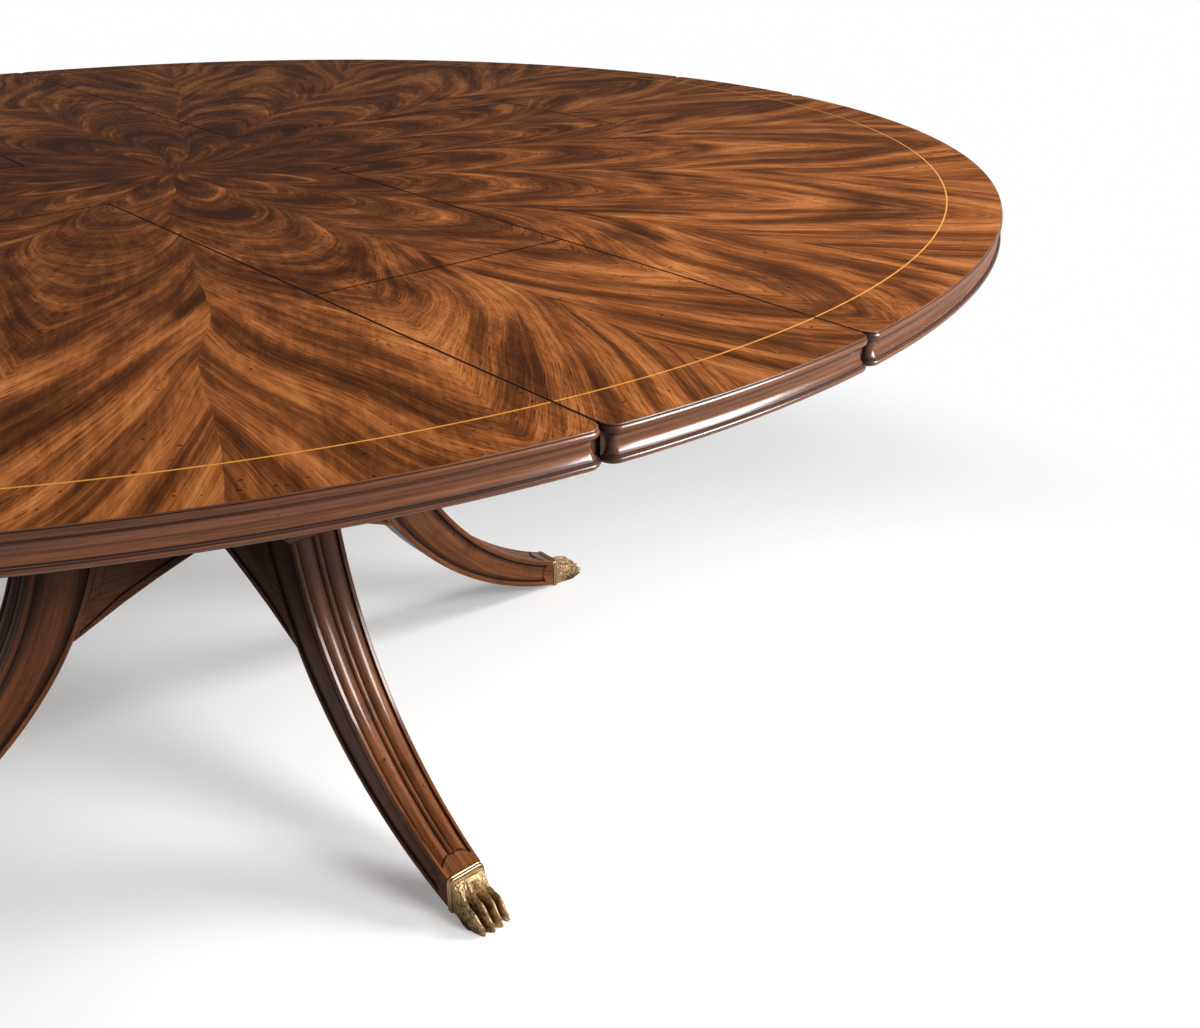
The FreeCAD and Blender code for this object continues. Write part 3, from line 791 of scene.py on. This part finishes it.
# %% [markdown]
# ## Sabre legs
#
# Each leg sweeps out and down like a sabre. Its front carries two fat reeds with a thin bead between
# them, sunk between plain borders, and the reeds stop short of the foot against an arched block.
# Each side is a sunk panel with a dark line along its edge. A carver works these into a sawn
# leg. Here the grid's columns are laid on the creases, so the creases stay crisp, and its rows
# bend with the arched ends.

# %% Curves of a leg
MM = 0.001
SHOULDER = Vector((248.0, 372.0))
TOE = Vector((516.0, 44.5))
HEEL = Vector((516.0, 1.5))
FRONT_CENTRE = Vector((675.7, 448.5))
BACK_CENTRE = Vector((637.0, 468.0))
BACK_TOP = Vector((164.7, 372.0))
KNEE = Vector((226.0, 216.0))
LEG_HALF = 32.0
TOE_HALF = 23.0
LEG_LENGTH = 450.0


def on_arc(centre, start, end, share):
    turn = (start - centre).angle_signed(end - centre)
    return centre + Matrix.Rotation(-turn * share, 2) @ (start - centre)


def leg_half(x):
    share = min(1.0, max(0.0, (x - SHOULDER.x) / (TOE.x - SHOULDER.x)))
    return LEG_HALF - (LEG_HALF - TOE_HALF) * share


print("a leg reaches", TOE.x, "mm out and is", round(2 * leg_half(TOE.x)), "mm wide at the toe")

# %% [markdown]
# The stations go once round the leg: over the front, down one side, over the back and up the other
# side. Each has its place and the depth of the carving there, in millimetres. They lie closer
# together where the carving turns sharply.

# %% Stations round a leg
FRONT_BORDER = 6.0
SIDE_BORDER = 8.0
REED_DEPTH = 4.0
REED_CROWN = 0.25
REED_MIDDLE = 0.58
REED_HALF = 0.42
BEAD_CROWN = 1.0
BEAD_EDGE = 0.16
PANEL_DEPTH = 3.2
# Stations across one reed, from its inner side to its outer, as shares of its half width.
ROUND_A_REED = (-0.97, -0.85, -0.68, -0.5, -0.3, -0.1, 0.1, 0.3, 0.5, 0.68, 0.85, 0.97, 1.0)


def front_columns():
    """Stations across the front: signed share of the half width, and depth of the carving."""
    band = 1 - FRONT_BORDER / LEG_HALF
    fall = REED_DEPTH - BEAD_CROWN
    half = [(q, BEAD_CROWN + fall * (q / BEAD_EDGE) ** 2) for q in (0.0, 0.05, 0.10, 0.13, BEAD_EDGE)]
    fall = REED_DEPTH - REED_CROWN
    half += [(REED_MIDDLE + REED_HALF * c, REED_CROWN + fall * c * c) for c in ROUND_A_REED]
    half = [(q * band, depth) for q, depth in half]
    half += [(band + 0.008, 3.2), (band + 0.020, 0.5), (band + 0.036, 0.05)]
    half += [(1 - 0.09, 0.0), (1 - 0.045, 0.0)]
    mirrored = [(-q, depth) for q, depth in reversed(half) if q > 0]
    return mirrored + half


def side_columns():
    """Stations down one side from front to back: share of the way, or millimetres from an edge."""
    edge = [(1.2, 0.0), (4.0, 0.0), (SIDE_BORDER - 1.2, 0.0)]
    edge += [(SIDE_BORDER - 0.4, 0.35), (SIDE_BORDER, 2.6)]
    stations = [("front", mm, depth) for mm, depth in edge]
    for share in (0.02, 0.06, 0.13, 0.22, 0.34, 0.5, 0.66, 0.78, 0.87, 0.94, 0.98):
        stations.append(("field", share, PANEL_DEPTH * (0.42 + 0.58 * abs(2 * share - 1) ** 2.2)))
    stations += [("back", mm, depth) for mm, depth in reversed(edge)]
    return stations


FRONT = front_columns()
SIDE = side_columns()
BACK = [share / 6 for share in range(-5, 6)]
COLUMNS = [("front", q, d) for q, d in FRONT] + [("right",) + s for s in SIDE]
COLUMNS += [("back", -q, 0.0) for q in BACK] + [("left",) + s for s in reversed(SIDE)]
print("columns round a leg:", len(COLUMNS))

# %% [markdown]
# The rule gives a place to every row and station. A row is a share of the way down. Just above the
# foot a groove ends the carving in an arch, and the rows below it are plain. The arrises are eased
# a little, as they wear on a real leg.

# %% The rule of a leg's skin
FOOT_BLOCK = 15.0
GROOVE = 3.0
GROOVE_DEPTH = 3.6
LEDGE = 1.1
ARRIS_STARTS = 0.955
ARRIS_BAND = 0.045
ARRIS_DEPTH = 0.9
# The number across goes on from here down a side, which tells the sides from the front.
SIDE_STARTS = 60
LEG_ROWS_UP = 96
LEG_ROWS = LEG_ROWS_UP + 9


def end_of_carving(column):
    """How far from the toe the carving stops, in millimetres."""
    if column[0] == "front":
        share = min(1.0, abs(column[1]) / (1 - FRONT_BORDER / LEG_HALF))
        return FOOT_BLOCK + 10 * (1 - share ** 2.5) - 1.2 * max(0.0, 1 - share / 0.12)
    if column[0] in ("left", "right") and column[1] == "field":
        return FOOT_BLOCK + 7 * (1 - (2 * column[2] - 1) ** 2)
    return FOOT_BLOCK


def leg_share(row, column):
    """Share of the way down the leg, and whether the carving is still there."""
    stop = 1 - end_of_carving(column) / LEG_LENGTH
    if row < LEG_ROWS_UP - 1:
        return (stop - GROOVE / LEG_LENGTH) * row / (LEG_ROWS_UP - 2), True
    if row <= LEG_ROWS_UP:
        return stop - (LEG_ROWS_UP - row) * GROOVE / 2 / LEG_LENGTH, True
    steps = row - LEG_ROWS_UP
    ledge = stop + LEDGE / LEG_LENGTH
    return ledge + (1 - ledge) * (steps - 1) / (LEG_ROWS - LEG_ROWS_UP - 1), False


def leg_rule(row, number):
    column = COLUMNS[number]
    share, carved = leg_share(row, column)
    front = on_arc(FRONT_CENTRE, SHOULDER, TOE, share)
    back = on_arc(BACK_CENTRE, BACK_TOP, HEEL, share)
    inwards = (back - front).normalized()
    thick = (back - front).length
    if column[0] in ("front", "back"):
        depth = column[2] if carved else 0.0
        grooved = carved and row >= LEG_ROWS_UP - 1 and column[2] > 0.2
        depth = max(depth, GROOVE_DEPTH) if grooved else depth
        base = front if column[0] == "front" else back
        depth = depth + ARRIS_DEPTH * max(0.0, (abs(column[1]) - ARRIS_STARTS) / ARRIS_BAND) ** 2
        place = base + inwards * (depth if column[0] == "front" else -depth)
        y = column[1] * leg_half(place.x)
        # The recess number marks where the finish darkens the leg with wax and painted shade.
        recess = 1.0 if grooved else ease(column[2], 1.9, 3.9) if carved else 0.0
        across = y
    else:
        ways = {"front": column[2], "back": thick - column[2],
                "field": SIDE_BORDER + column[2] * (thick - 2 * SIDE_BORDER)}
        place = front + inwards * ways[column[1]]
        depth = column[3] if carved else 0.0
        y = leg_half(place.x) - depth
        recess = ease(column[3], 1.7, 2.7) if carved else 0.0
        across = SIDE_STARTS + ways[column[1]]
        y = -y if column[0] == "left" else y
    return Vector((place.x, y, place.y)) * MM, share * LEG_LENGTH * MM, across * MM, recess


print("rows down a leg:", LEG_ROWS)

# %% [markdown]
# Behind the sabre a curved block runs in to the middle, where the four legs meet in mitres. It is a
# flat outline, extruded across, cut by the two mitre planes and given a sunk panel on each side.

# %% The block behind a leg
ROOT = Vector((0.0, 296.0))
ROOT_SAG = 6.0
# The sunk panel of a side, step by step: how far in and how deep.
PANEL_STEPS = ((SIDE_BORDER * 1.2, 0.0), (0.6, -PANEL_DEPTH), (2.0, 0.8))


def block_outline():
    down = [on_arc(BACK_CENTRE, BACK_TOP, KNEE, share) for share in (0.0, 0.2, 0.4, 0.6, 1.0)]
    chord = ROOT - KNEE
    middle = (ROOT + KNEE) / 2 + Vector((chord.y, -chord.x)).normalized() * ROOT_SAG
    inwards = arc_through(KNEE, middle, ROOT, 10)
    return down + inwards[2::2] + [ROOT, Vector((0.0, SHOULDER.y))]


def leg_block():
    bm = bmesh.new()
    ring = [bm.verts.new((p.x * MM, -LEG_HALF * MM, p.y * MM)) for p in block_outline()]
    face = bm.faces.new(ring)
    swept = bmesh.ops.extrude_face_region(bm, geom=[face])["geom"]
    moved = of_kind(swept, bmesh.types.BMVert)
    bmesh.ops.translate(bm, verts=moved, vec=(0, 2 * LEG_HALF * MM, 0))
    for lean in (1, -1):
        cut_away(bm, (0, 0, 0), (-1, lean, 0))
        fill_open(bm)
    bmesh.ops.remove_doubles(bm, verts=bm.verts, dist=MERGE)
    bmesh.ops.recalc_face_normals(bm, faces=bm.faces)
    for side in (1, -1):
        walls = [face for face in bm.faces if face.normal.y * side > FLAT]
        for inwards, depth in PANEL_STEPS:
            bmesh.ops.inset_region(bm, faces=walls, thickness=inwards * MM, depth=depth * MM)
    return bm


def block_numbers(bm):
    """Give the block the same numbers for its finish as the skin of the leg."""
    along, across, recess = [bm.verts.layers.float.new(word) for word in MARKS]
    for vert in bm.verts:
        vert[along] = vert.co.x
        vert[across] = vert.co.z + vert.co.y
        vert[recess] = 1.0 if abs(abs(vert.co.y) - (LEG_HALF - PANEL_DEPTH) * MM) < NEAR else 0.0
    return bm


def join(first, second):
    """One bmesh with the parts of both."""
    carrier = bpy.data.meshes.new("carrier")
    second.to_mesh(carrier)
    second.free()
    first.from_mesh(carrier)
    bpy.data.meshes.remove(carrier)
    return first


print("block outline points:", len(block_outline()))

# %% [markdown]
# ## The polish of the legs
#
# The legs are straight-grained mahogany with a red-brown polish. The grain follows the sweep, so it
# is read from the numbers on the skin. The quirks and grooves are darkened, partly as dark wax and
# partly as painted shade. The polish is dull on the flanks and near the platform, where no cloth
# reaches, the upper part of each leg is painted darker as painted shadow of the top, and a few nicks
# show age.

# %% Leg mahogany
LEG_TONES = [(0.27, (52, 28, 14)), (0.44, (84, 48, 26)), (0.60, (119, 71, 40)), (0.78, (153, 97, 57))]
LEG_CREASE = 38


def leg_mahogany():
    finish = Finish("leg_mahogany", Specular_IOR_Level=0.16, Coat_Roughness=0.12)
    here = finish.place()
    along = finish.own("along")
    across = finish.own("across")
    recess = finish.own("recess")
    wave = finish.noise(finish.vector(along * 7, across * 30), 1.0, 2.0, 0.5, 2.0)
    figure = finish.cloud(finish.vector(along * 6, across * 210 + wave * 2), 5.0)
    grain = finish.fibre(finish.vector(along * 70, across * 1900), 9.0)
    colour = finish.ramp(figure * 0.7 + grain * 0.3, LEG_TONES)
    # Painted shadow: the upper part of each leg is darkened, where the table top shades it.
    upper = finish.parts(here)[2].between(0.15, 0.34)
    colour = finish.mix(upper * 0.8, colour, shade(32, 18, 9))
    patch = finish.cloud(here, 17.0, 26.0)
    colour = finish.mix(patch.between(0.50, 0.72) * 0.55, colour, shade(48, 25, 14))
    # Dark wax and painted shade: the grooves, quirks and panel edges are darkened.
    wax_and_shade = recess * (0.72 + patch * 0.4)
    colour = finish.mix(wax_and_shade.maths("MINIMUM", 0.96), colour, shade(22, 11, 7))
    nick = finish.spots(here, 29.0, 130.0).between(0.74, 0.78)
    colour = finish.mix(nick * 0.9, colour, shade(26, 13, 8))
    bump = finish.bump(grain * 0.3 - nick, 0.0002)
    flank = across.between(0.045, 0.055)
    rough = 0.20 + patch * 0.14 + wax_and_shade * 0.25 + upper * 0.35 + flank * 0.12
    polish = (0.55 - wax_and_shade * 0.5) * (1 - upper) * (1 - flank * 0.9)
    return finish.show(Base_Color=colour, Roughness=rough, Coat_Weight=polish, Normal=bump)


leg_finish = leg_mahogany()
for name, turn in SIDE_TURNS.items():
    bm = join(wrapped_skin(LEG_ROWS, len(COLUMNS), leg_rule), block_numbers(leg_block()))
    turn_about_middle(bm, turn)
    leg = as_piece(bm, "leg_" + name + "_carved", [leg_finish], LEG_CREASE)
    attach(leg, "base")
    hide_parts("leg_" + name)
print("one leg:", len(leg.data.polygons), "faces")

# %% [markdown]
# ## Cast paws
#
# A lion's paw of cast brass caps each toe. It has a collar of two beads with a groove between, a
# back covered with short fur, and four toes that end in claws. It could be sculpted by hand. A rule
# for the skin gives the same thing every time: the section starts as the leg's own rounded square,
# sinks and splays, and four ridges rise out of it. Noise stretched along the toes raises the fur.

# %% Paw skin
PAW_START = 516.0
PAW_COLLAR = 7.0
PAW_END = 579.5
TOE_SWEEP = 5.0
COLLAR_HALF = 24.3
COLLAR_HIGH = 45.8
PAW_ROWS = 124
PAW_COLUMNS = 240
TOES = 4
# The two beads of the collar: how far along, and how far out.
COLLAR_STEPS = [(0.0, -1.4), (0.0, -0.5), (0.3, -0.15), (0.9, 0.0), (1.6, -0.05), (2.2, -0.25),
                (2.6, -0.7), (2.9, -1.2), (3.2, -1.3), (3.6, -0.7), (4.1, -0.3), (4.8, -0.05),
                (5.6, -0.1), (6.3, -0.4), (6.8, -0.9), (7.0, -1.5), (7.2, -2.0)]
COLLAR_ROWS = len(COLLAR_STEPS) - 1
# The section behind the collar: first size, then each change and the shares of the way it takes.
PAW_SQUARE = (0.24, (0.46, 0.0, 0.32))
PAW_HALF = (21.8, (3.2, 0.05, 0.55), (-2.6, 0.6, 1.0))
PAW_HIGH = (42.5, (-17.0, -0.15, 0.62), (-17.5, 0.55, 1.02), (2.5, 0.3, 0.55))


def down_the_paw(sizes, share):
    size, *changes = sizes
    for change, low, high in changes:
        size += change * ease(share, low, high)
    return size


def rounded_section(angle, half, high, square):
    """A section with a flat sole: from the right side over the top to the left, then back."""
    if angle <= math.pi:
        y = math.copysign(abs(math.cos(angle)) ** square, math.cos(angle)) * half
        return y, max(0.0, math.sin(angle)) ** square * high
    return -math.cos(angle - math.pi) * half, 0.0


def fur(place):
    """Height of the fur, long along the paw and fine across it."""
    coarse = noise.noise(Vector((place.x * 0.20, place.y * 0.52, place.z * 0.30)))
    fine = noise.noise(Vector((place.x * 0.36, place.y * 1.10, place.z * 0.60 + 9)))
    return 1.15 * coarse + 0.95 * fine


def paw_rule(row, column):
    angle = 2 * math.pi * column / PAW_COLUMNS
    if row <= COLLAR_ROWS:
        x, swell = COLLAR_STEPS[row]
        y, z = rounded_section(angle, COLLAR_HALF + swell, COLLAR_HIGH + swell, 0.22)
        return Vector((PAW_START + x, y, z)) * MM, x * MM, y * MM, 0.9 * ease(-swell, 0.5, 1.3)
    share = (row - COLLAR_ROWS) / (PAW_ROWS - COLLAR_ROWS)
    half, high, square = (down_the_paw(sizes, share) for sizes in (PAW_HALF, PAW_HIGH, PAW_SQUARE))
    y, z = rounded_section(angle, half, high, square)
    station = (y / half + 1) / 2 * TOES
    ridge = abs(math.sin(math.pi * station)) ** 0.95
    apart = ease(share, 0.04, 0.58)
    on_top = 1.0 if angle <= math.pi else 0.0
    hollow = (1 - ridge) * apart * on_top
    end = PAW_END - TOE_SWEEP * (y / half) ** 2 - 13.0 * (1 - ridge) * ease(share, 0.55, 1.0)
    x = PAW_START + PAW_COLLAR + 0.2 + (end - PAW_START - PAW_COLLAR - 0.2) * share
    z = z * (1 - 0.70 * hollow)
    knuckle = 1.6 * math.sin(math.pi * min(1.0, max(0.0, (share - 0.58) / 0.3))) * ridge * on_top
    place = Vector((x, y, z + knuckle * ease(z, 1, 8)))
    rise = fur(place) * ease(share, 0.0, 0.08) * (1 - 0.75 * ease(share, 0.72, 0.95)) * ease(z, 0.2, 4)
    place += Vector((0, 0.6 * y / half, 0.8)) * rise
    recess = min(1.0, 0.95 * hollow + ease(-rise, -0.1, 0.7) * 0.6)
    return place * MM, x * MM, y * MM, recess


print("paw skin:", PAW_ROWS, "rows by", PAW_COLUMNS, "columns")

# %% [markdown]
# Each toe ends in a claw, a short cone that is cut into rings and bent down. The casting has gone
# dark in its hollows and is rubbed bright on its high places. The finish reads the hollows from the
# skin, so that the tarnish lies where it would on the real brass.

# %% Claws
CLAW_LONG = 9.0
CLAW_THICK = 2.3
CLAW_TIP = 0.7
CLAW_DIP = 100
CLAW_BEND = 1.6
CLAW_HEIGHT = 5.6
SOLE_CLEAR = 0.0004


def claw(y, x):
    """A small curved nail at the end of a toe."""
    bm = bmesh.new()
    bmesh.ops.create_cone(bm, segments=14, radius1=CLAW_THICK * MM, radius2=CLAW_TIP * MM,
                          depth=CLAW_LONG * MM, cap_ends=True)
    upright = [edge for edge in bm.edges
               if abs((edge.verts[0].co - edge.verts[1].co).z) > 0.5 * CLAW_LONG * MM]
    bmesh.ops.subdivide_edges(bm, edges=upright, cuts=5)
    turn_about_middle(bm, CLAW_DIP, "Y")
    for vert in bm.verts:
        forward = vert.co.x / (CLAW_LONG * MM) + 0.5
        vert.co.z -= CLAW_BEND * MM * forward ** 2
        vert.co += Vector((x - 4.0, y, CLAW_HEIGHT)) * MM
        vert.co.z = max(vert.co.z, SOLE_CLEAR)
    for face in bm.faces:
        face.smooth = True
    bmesh.ops.recalc_face_normals(bm, faces=bm.faces)
    return bm


print("claws are", CLAW_LONG, "mm long")

# %% Patina, and four paws
TOE_REACH = 22.0
PAW_END_HALF = 22.4
PAW_CREASE = 50


def cast_brass():
    finish = Finish("cast_brass", Specular_IOR_Level=0.3)
    here = finish.place()
    recess = finish.own("recess")
    cloud = finish.cloud(here, 4.0, 90.0)
    fine = finish.fibre(here, 6.0, 900.0)
    hair = finish.fibre(finish.stretch(here, (520, 520, 300)), 6.0)
    furry = finish.own("along").between(0.008, 0.010)
    dull = (recess * 0.80 + ((cloud - 0.36) * 0.5 + (hair - 0.46) * 1.2) * furry).between(-0.1, 1.0)
    colour = finish.mix(dull, shade(214, 180, 132), shade(66, 49, 32))
    bump = finish.bump((hair * 0.7 + fine * 0.3) * furry, 0.0013)
    rough = 0.26 + furry * 0.10 + dull * 0.28
    return finish.show(Base_Color=colour, Metallic=1 - dull * 0.5, Roughness=rough, Normal=bump)


patina = cast_brass()
for name, turn in SIDE_TURNS.items():
    bm = wrapped_skin(PAW_ROWS, PAW_COLUMNS, paw_rule)
    for number in range(TOES):
        y = ((number + 0.5) / TOES * 2 - 1) * TOE_REACH
        bm = join(bm, claw(y, PAW_END - TOE_SWEEP * (y / PAW_END_HALF) ** 2 + 1.0))
    turn_about_middle(bm, turn)
    paw = as_piece(bm, "paw_" + name + "_cast", [patina], PAW_CREASE)
    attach(paw, "base")
    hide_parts("paw_" + name)
print("one paw:", len(paw.data.polygons), "faces")

# %% [markdown]
# ## Metal finishes
#
# The turn buttons, pins and screws are plain brass or steel. Metal needs little colour of its own:
# what makes it real is uneven roughness, fine scratches and tarnish.

# %% Brass and steel
def plain_metal(name, bright, tarnish, roughness):
    finish = Finish(name, Metallic=1.0)
    here = finish.place()
    cloud = finish.cloud(here, 3.0, 60.0)
    scratch = finish.spots(finish.stretch(here, (2400, 300, 900)), 7.0)
    colour = finish.mix(cloud.between(0.45, 0.75) * 0.6, shade(*bright), shade(*tarnish))
    rough = roughness + cloud * 0.2 + scratch * 0.08
    return finish.show(Base_Color=colour, Roughness=rough, Normal=finish.bump(scratch, 0.00003))


plain_brass = plain_metal("plain_brass", (214, 176, 104), (120, 88, 48), 0.22)
screw_steel = plain_metal("screw_steel", (168, 166, 162), (92, 86, 80), 0.28)
print("metals:", plain_brass.name, screw_steel.name)

# %% [markdown]
# ## Finishes for the pieces that keep their own mesh
#
# The stand and the sliding gear sit in the dark under the top. Their solids are already right, so
# they keep their meshes and only their finishes change. Each bar gets timber with the grain along
# itself, and the turned columns get grain that runs up them. The platform gets the same mahogany in
# much darker tones, as painted shade under the top.

# %% Hidden pieces
def standing_mahogany(name, stretch, tones):
    finish = Finish(name, Specular_IOR_Level=0.3)
    here = finish.place()
    figure = finish.cloud(finish.stretch(here, stretch), 21.0)
    grain = finish.fibre(finish.stretch(here, [10 * s for s in stretch]), 25.0)
    colour = finish.ramp(figure * 0.7 + grain * 0.3, zip((0.28, 0.5, 0.74), tones))
    bump = finish.bump(grain, 0.0001)
    return finish.show(Base_Color=colour, Roughness=0.26 + grain * 0.14, Normal=bump)


def dress_node(name, finish):
    for holder in nodes[name].material_slots:
        holder.material = finish


COLUMN_TONES = ((58, 30, 18), (100, 57, 35), (138, 84, 54))
# Painted shade: the platform's tones are far darker than the columns', for the shade under the top.
PLATFORM_SHADED_TONES = ((34, 18, 11), (58, 33, 20), (86, 53, 34))
column_mahogany = standing_mahogany("column_mahogany", (70, 70, 4), COLUMN_TONES)
platform_shaded_mahogany = standing_mahogany("platform_shaded_mahogany", (4, 60, 60), PLATFORM_SHADED_TONES)
for side in SIDE_TURNS:
    dress_node("column_" + side, column_mahogany)
dress_node("platform", platform_shaded_mahogany)
dress_node("bed_board", gear_timber[0])
dress_node("bearer_left_right", gear_timber[0])
dress_node("bearer_front_back", gear_timber[90])
for name, turn in QUARTER_TURNS.items():
    heading = 45 if turn in (0, 180) else -45
    dress_node("guide_" + name, gear_timber[heading])
    dress_node("quarter_" + name + "_runner", gear_timber[heading])
    dress_node("quarter_" + name + "_screws", screw_steel)
    dress_node("quarter_" + name + "_turn_button", plain_brass)
dress_node("leg_bolts", screw_steel)
dress_node("paw_screws", plain_brass)
dress_node("locating_pins", plain_brass)
print("hidden pieces dressed")

# %% [markdown]
# ## Floor
#
# The picture is a studio one on white paper. Enough light to turn plain paint white would also bleach
# the table, so part of the floor's white is a glow that only the camera and mirrored rays see. Close
# to the table the glow is weak, and the paint under it catches the shadow. Farther off the glow takes
# over, and the floor runs into the background.

# %% Floor
FLOOR_HALF = 9.0
FLOOR_GLOW = 0.24
# The glow grows to full between these squares of the distance from the middle.
GLOW_GROWS = (0.45, 3.0)
PAINT_SEEN = 0.9
PAINT_FOR_LIGHT = 0.4
MIRRORED = 0.35
SEEN_BY = {"Is Camera Ray": 1.0, "Is Transmission Ray": 1.0, "Is Glossy Ray": MIRRORED}


def grey(level):
    return (level, level, level, 1.0)


def white_floor():
    bm = bmesh.new()
    bmesh.ops.create_grid(bm, x_segments=4, y_segments=4, size=FLOOR_HALF)
    floor = as_piece(bm, "floor", [], CREASE)
    finish = Finish("floor_paper", Roughness=1.0, Specular_IOR_Level=0.0)
    path = finish.add("ShaderNodeLightPath").socket.node
    seen = sum(Value(finish, path.outputs[ray]) * level for ray, level in SEEN_BY.items())
    by_camera = Value(finish, path.outputs["Is Camera Ray"])
    glow = finish.add("ShaderNodeEmission", sockets=[grey(1.0), 1.0])
    paint = Value(finish, finish.shader.outputs[0])
    x, y, _ = finish.parts(finish.place())
    far = (x * x + y * y).between(*GLOW_GROWS)
    share = seen * (FLOOR_GLOW + far * (1 - FLOOR_GLOW))
    finish.show(Base_Color=finish.mix(by_camera, grey(PAINT_FOR_LIGHT), grey(PAINT_SEEN)))
    both = finish.add("ShaderNodeMixShader", sockets=[share, paint, glow])
    finish.feed(finish.tree.nodes["Material Output"].inputs["Surface"], both)
    floor.data.materials.append(finish.material)
    return floor


floor = white_floor()
print("floor is", round(floor.dimensions.x, 1), "m wide")

# %% [markdown]
# ## Lights and room
#
# Two soft boxes stand at the right. Their beams are narrowed, so that the near rim is bright and the
# far side of the top falls off, as it does in the picture. Only the box at the front and the weak one
# overhead are mirrored in the polish: they draw the bright lines along the moulding and the reeds. A
# low fill at the left keeps the legs from going black. The room is white to the camera, dimmer to
# mirrored rays, and gives only a little light itself.

# %% Lights
# Name, place, aim, width, height, watts, spread in degrees, and whether the polish mirrors it.
LAMPS = (("key_right", (2.60, -1.25, 1.50), (0.7, -1.05, 0.55), 1.0, 1.2, 27, 76, False),
         ("front_right", (1.20, -2.67, 1.58), (0.0, -0.95, 0.74), 1.1, 1.2, 22, 74, True),
         ("overhead", (1.8, 0.2, 2.6), (0.6, -0.1, 0.7), 1.8, 1.8, 9, 180, True),
         ("fill_left", (-2.6, -2.8, 0.9), (0.0, -0.2, 0.4), 2.0, 1.4, 10, 180, False))


def soft_light(name, place, aim, wide, high, power, spread, mirrored):
    lamp = bpy.data.lights.new(name, "AREA")
    lamp.shape = "RECTANGLE"
    lamp.size = wide
    lamp.size_y = high
    lamp.energy = power
    lamp.spread = math.radians(spread)
    light = put_in_scene(name, lamp)
    light.location = place
    light.rotation_euler = (Vector(aim) - Vector(place)).to_track_quat("-Z", "Y").to_euler()
    light.visible_glossy = mirrored


for lamp in LAMPS:
    soft_light(*lamp)
print("lamps:", [lamp.name for lamp in bpy.data.lights])

# %% Room
ROOM_LIGHT = 0.16


def white_room():
    world = bpy.data.worlds.new("room")
    world.use_nodes = True
    bpy.context.scene.world = world
    tree = world.node_tree
    light = tree.nodes["Background"]
    light.inputs["Color"].default_value = grey(1.0)
    path = tree.nodes.new("ShaderNodeLightPath")
    strength = None
    for ray, level in SEEN_BY.items():
        part = tree.nodes.new("ShaderNodeMath")
        part.operation = "MULTIPLY_ADD"
        tree.links.new(path.outputs[ray], part.inputs[0])
        part.inputs[1].default_value = level - ROOM_LIGHT
        part.inputs[2].default_value = ROOM_LIGHT
        if strength:
            tree.links.new(strength, part.inputs[2])
        strength = part.outputs[0]
    tree.links.new(strength, light.inputs["Strength"])
    return world


white_room()
bpy.context.scene.view_settings.view_transform = "Standard"
print("room light", ROOM_LIGHT)

# %% [markdown]
# The dressed table has to stay inside the box of its solids.
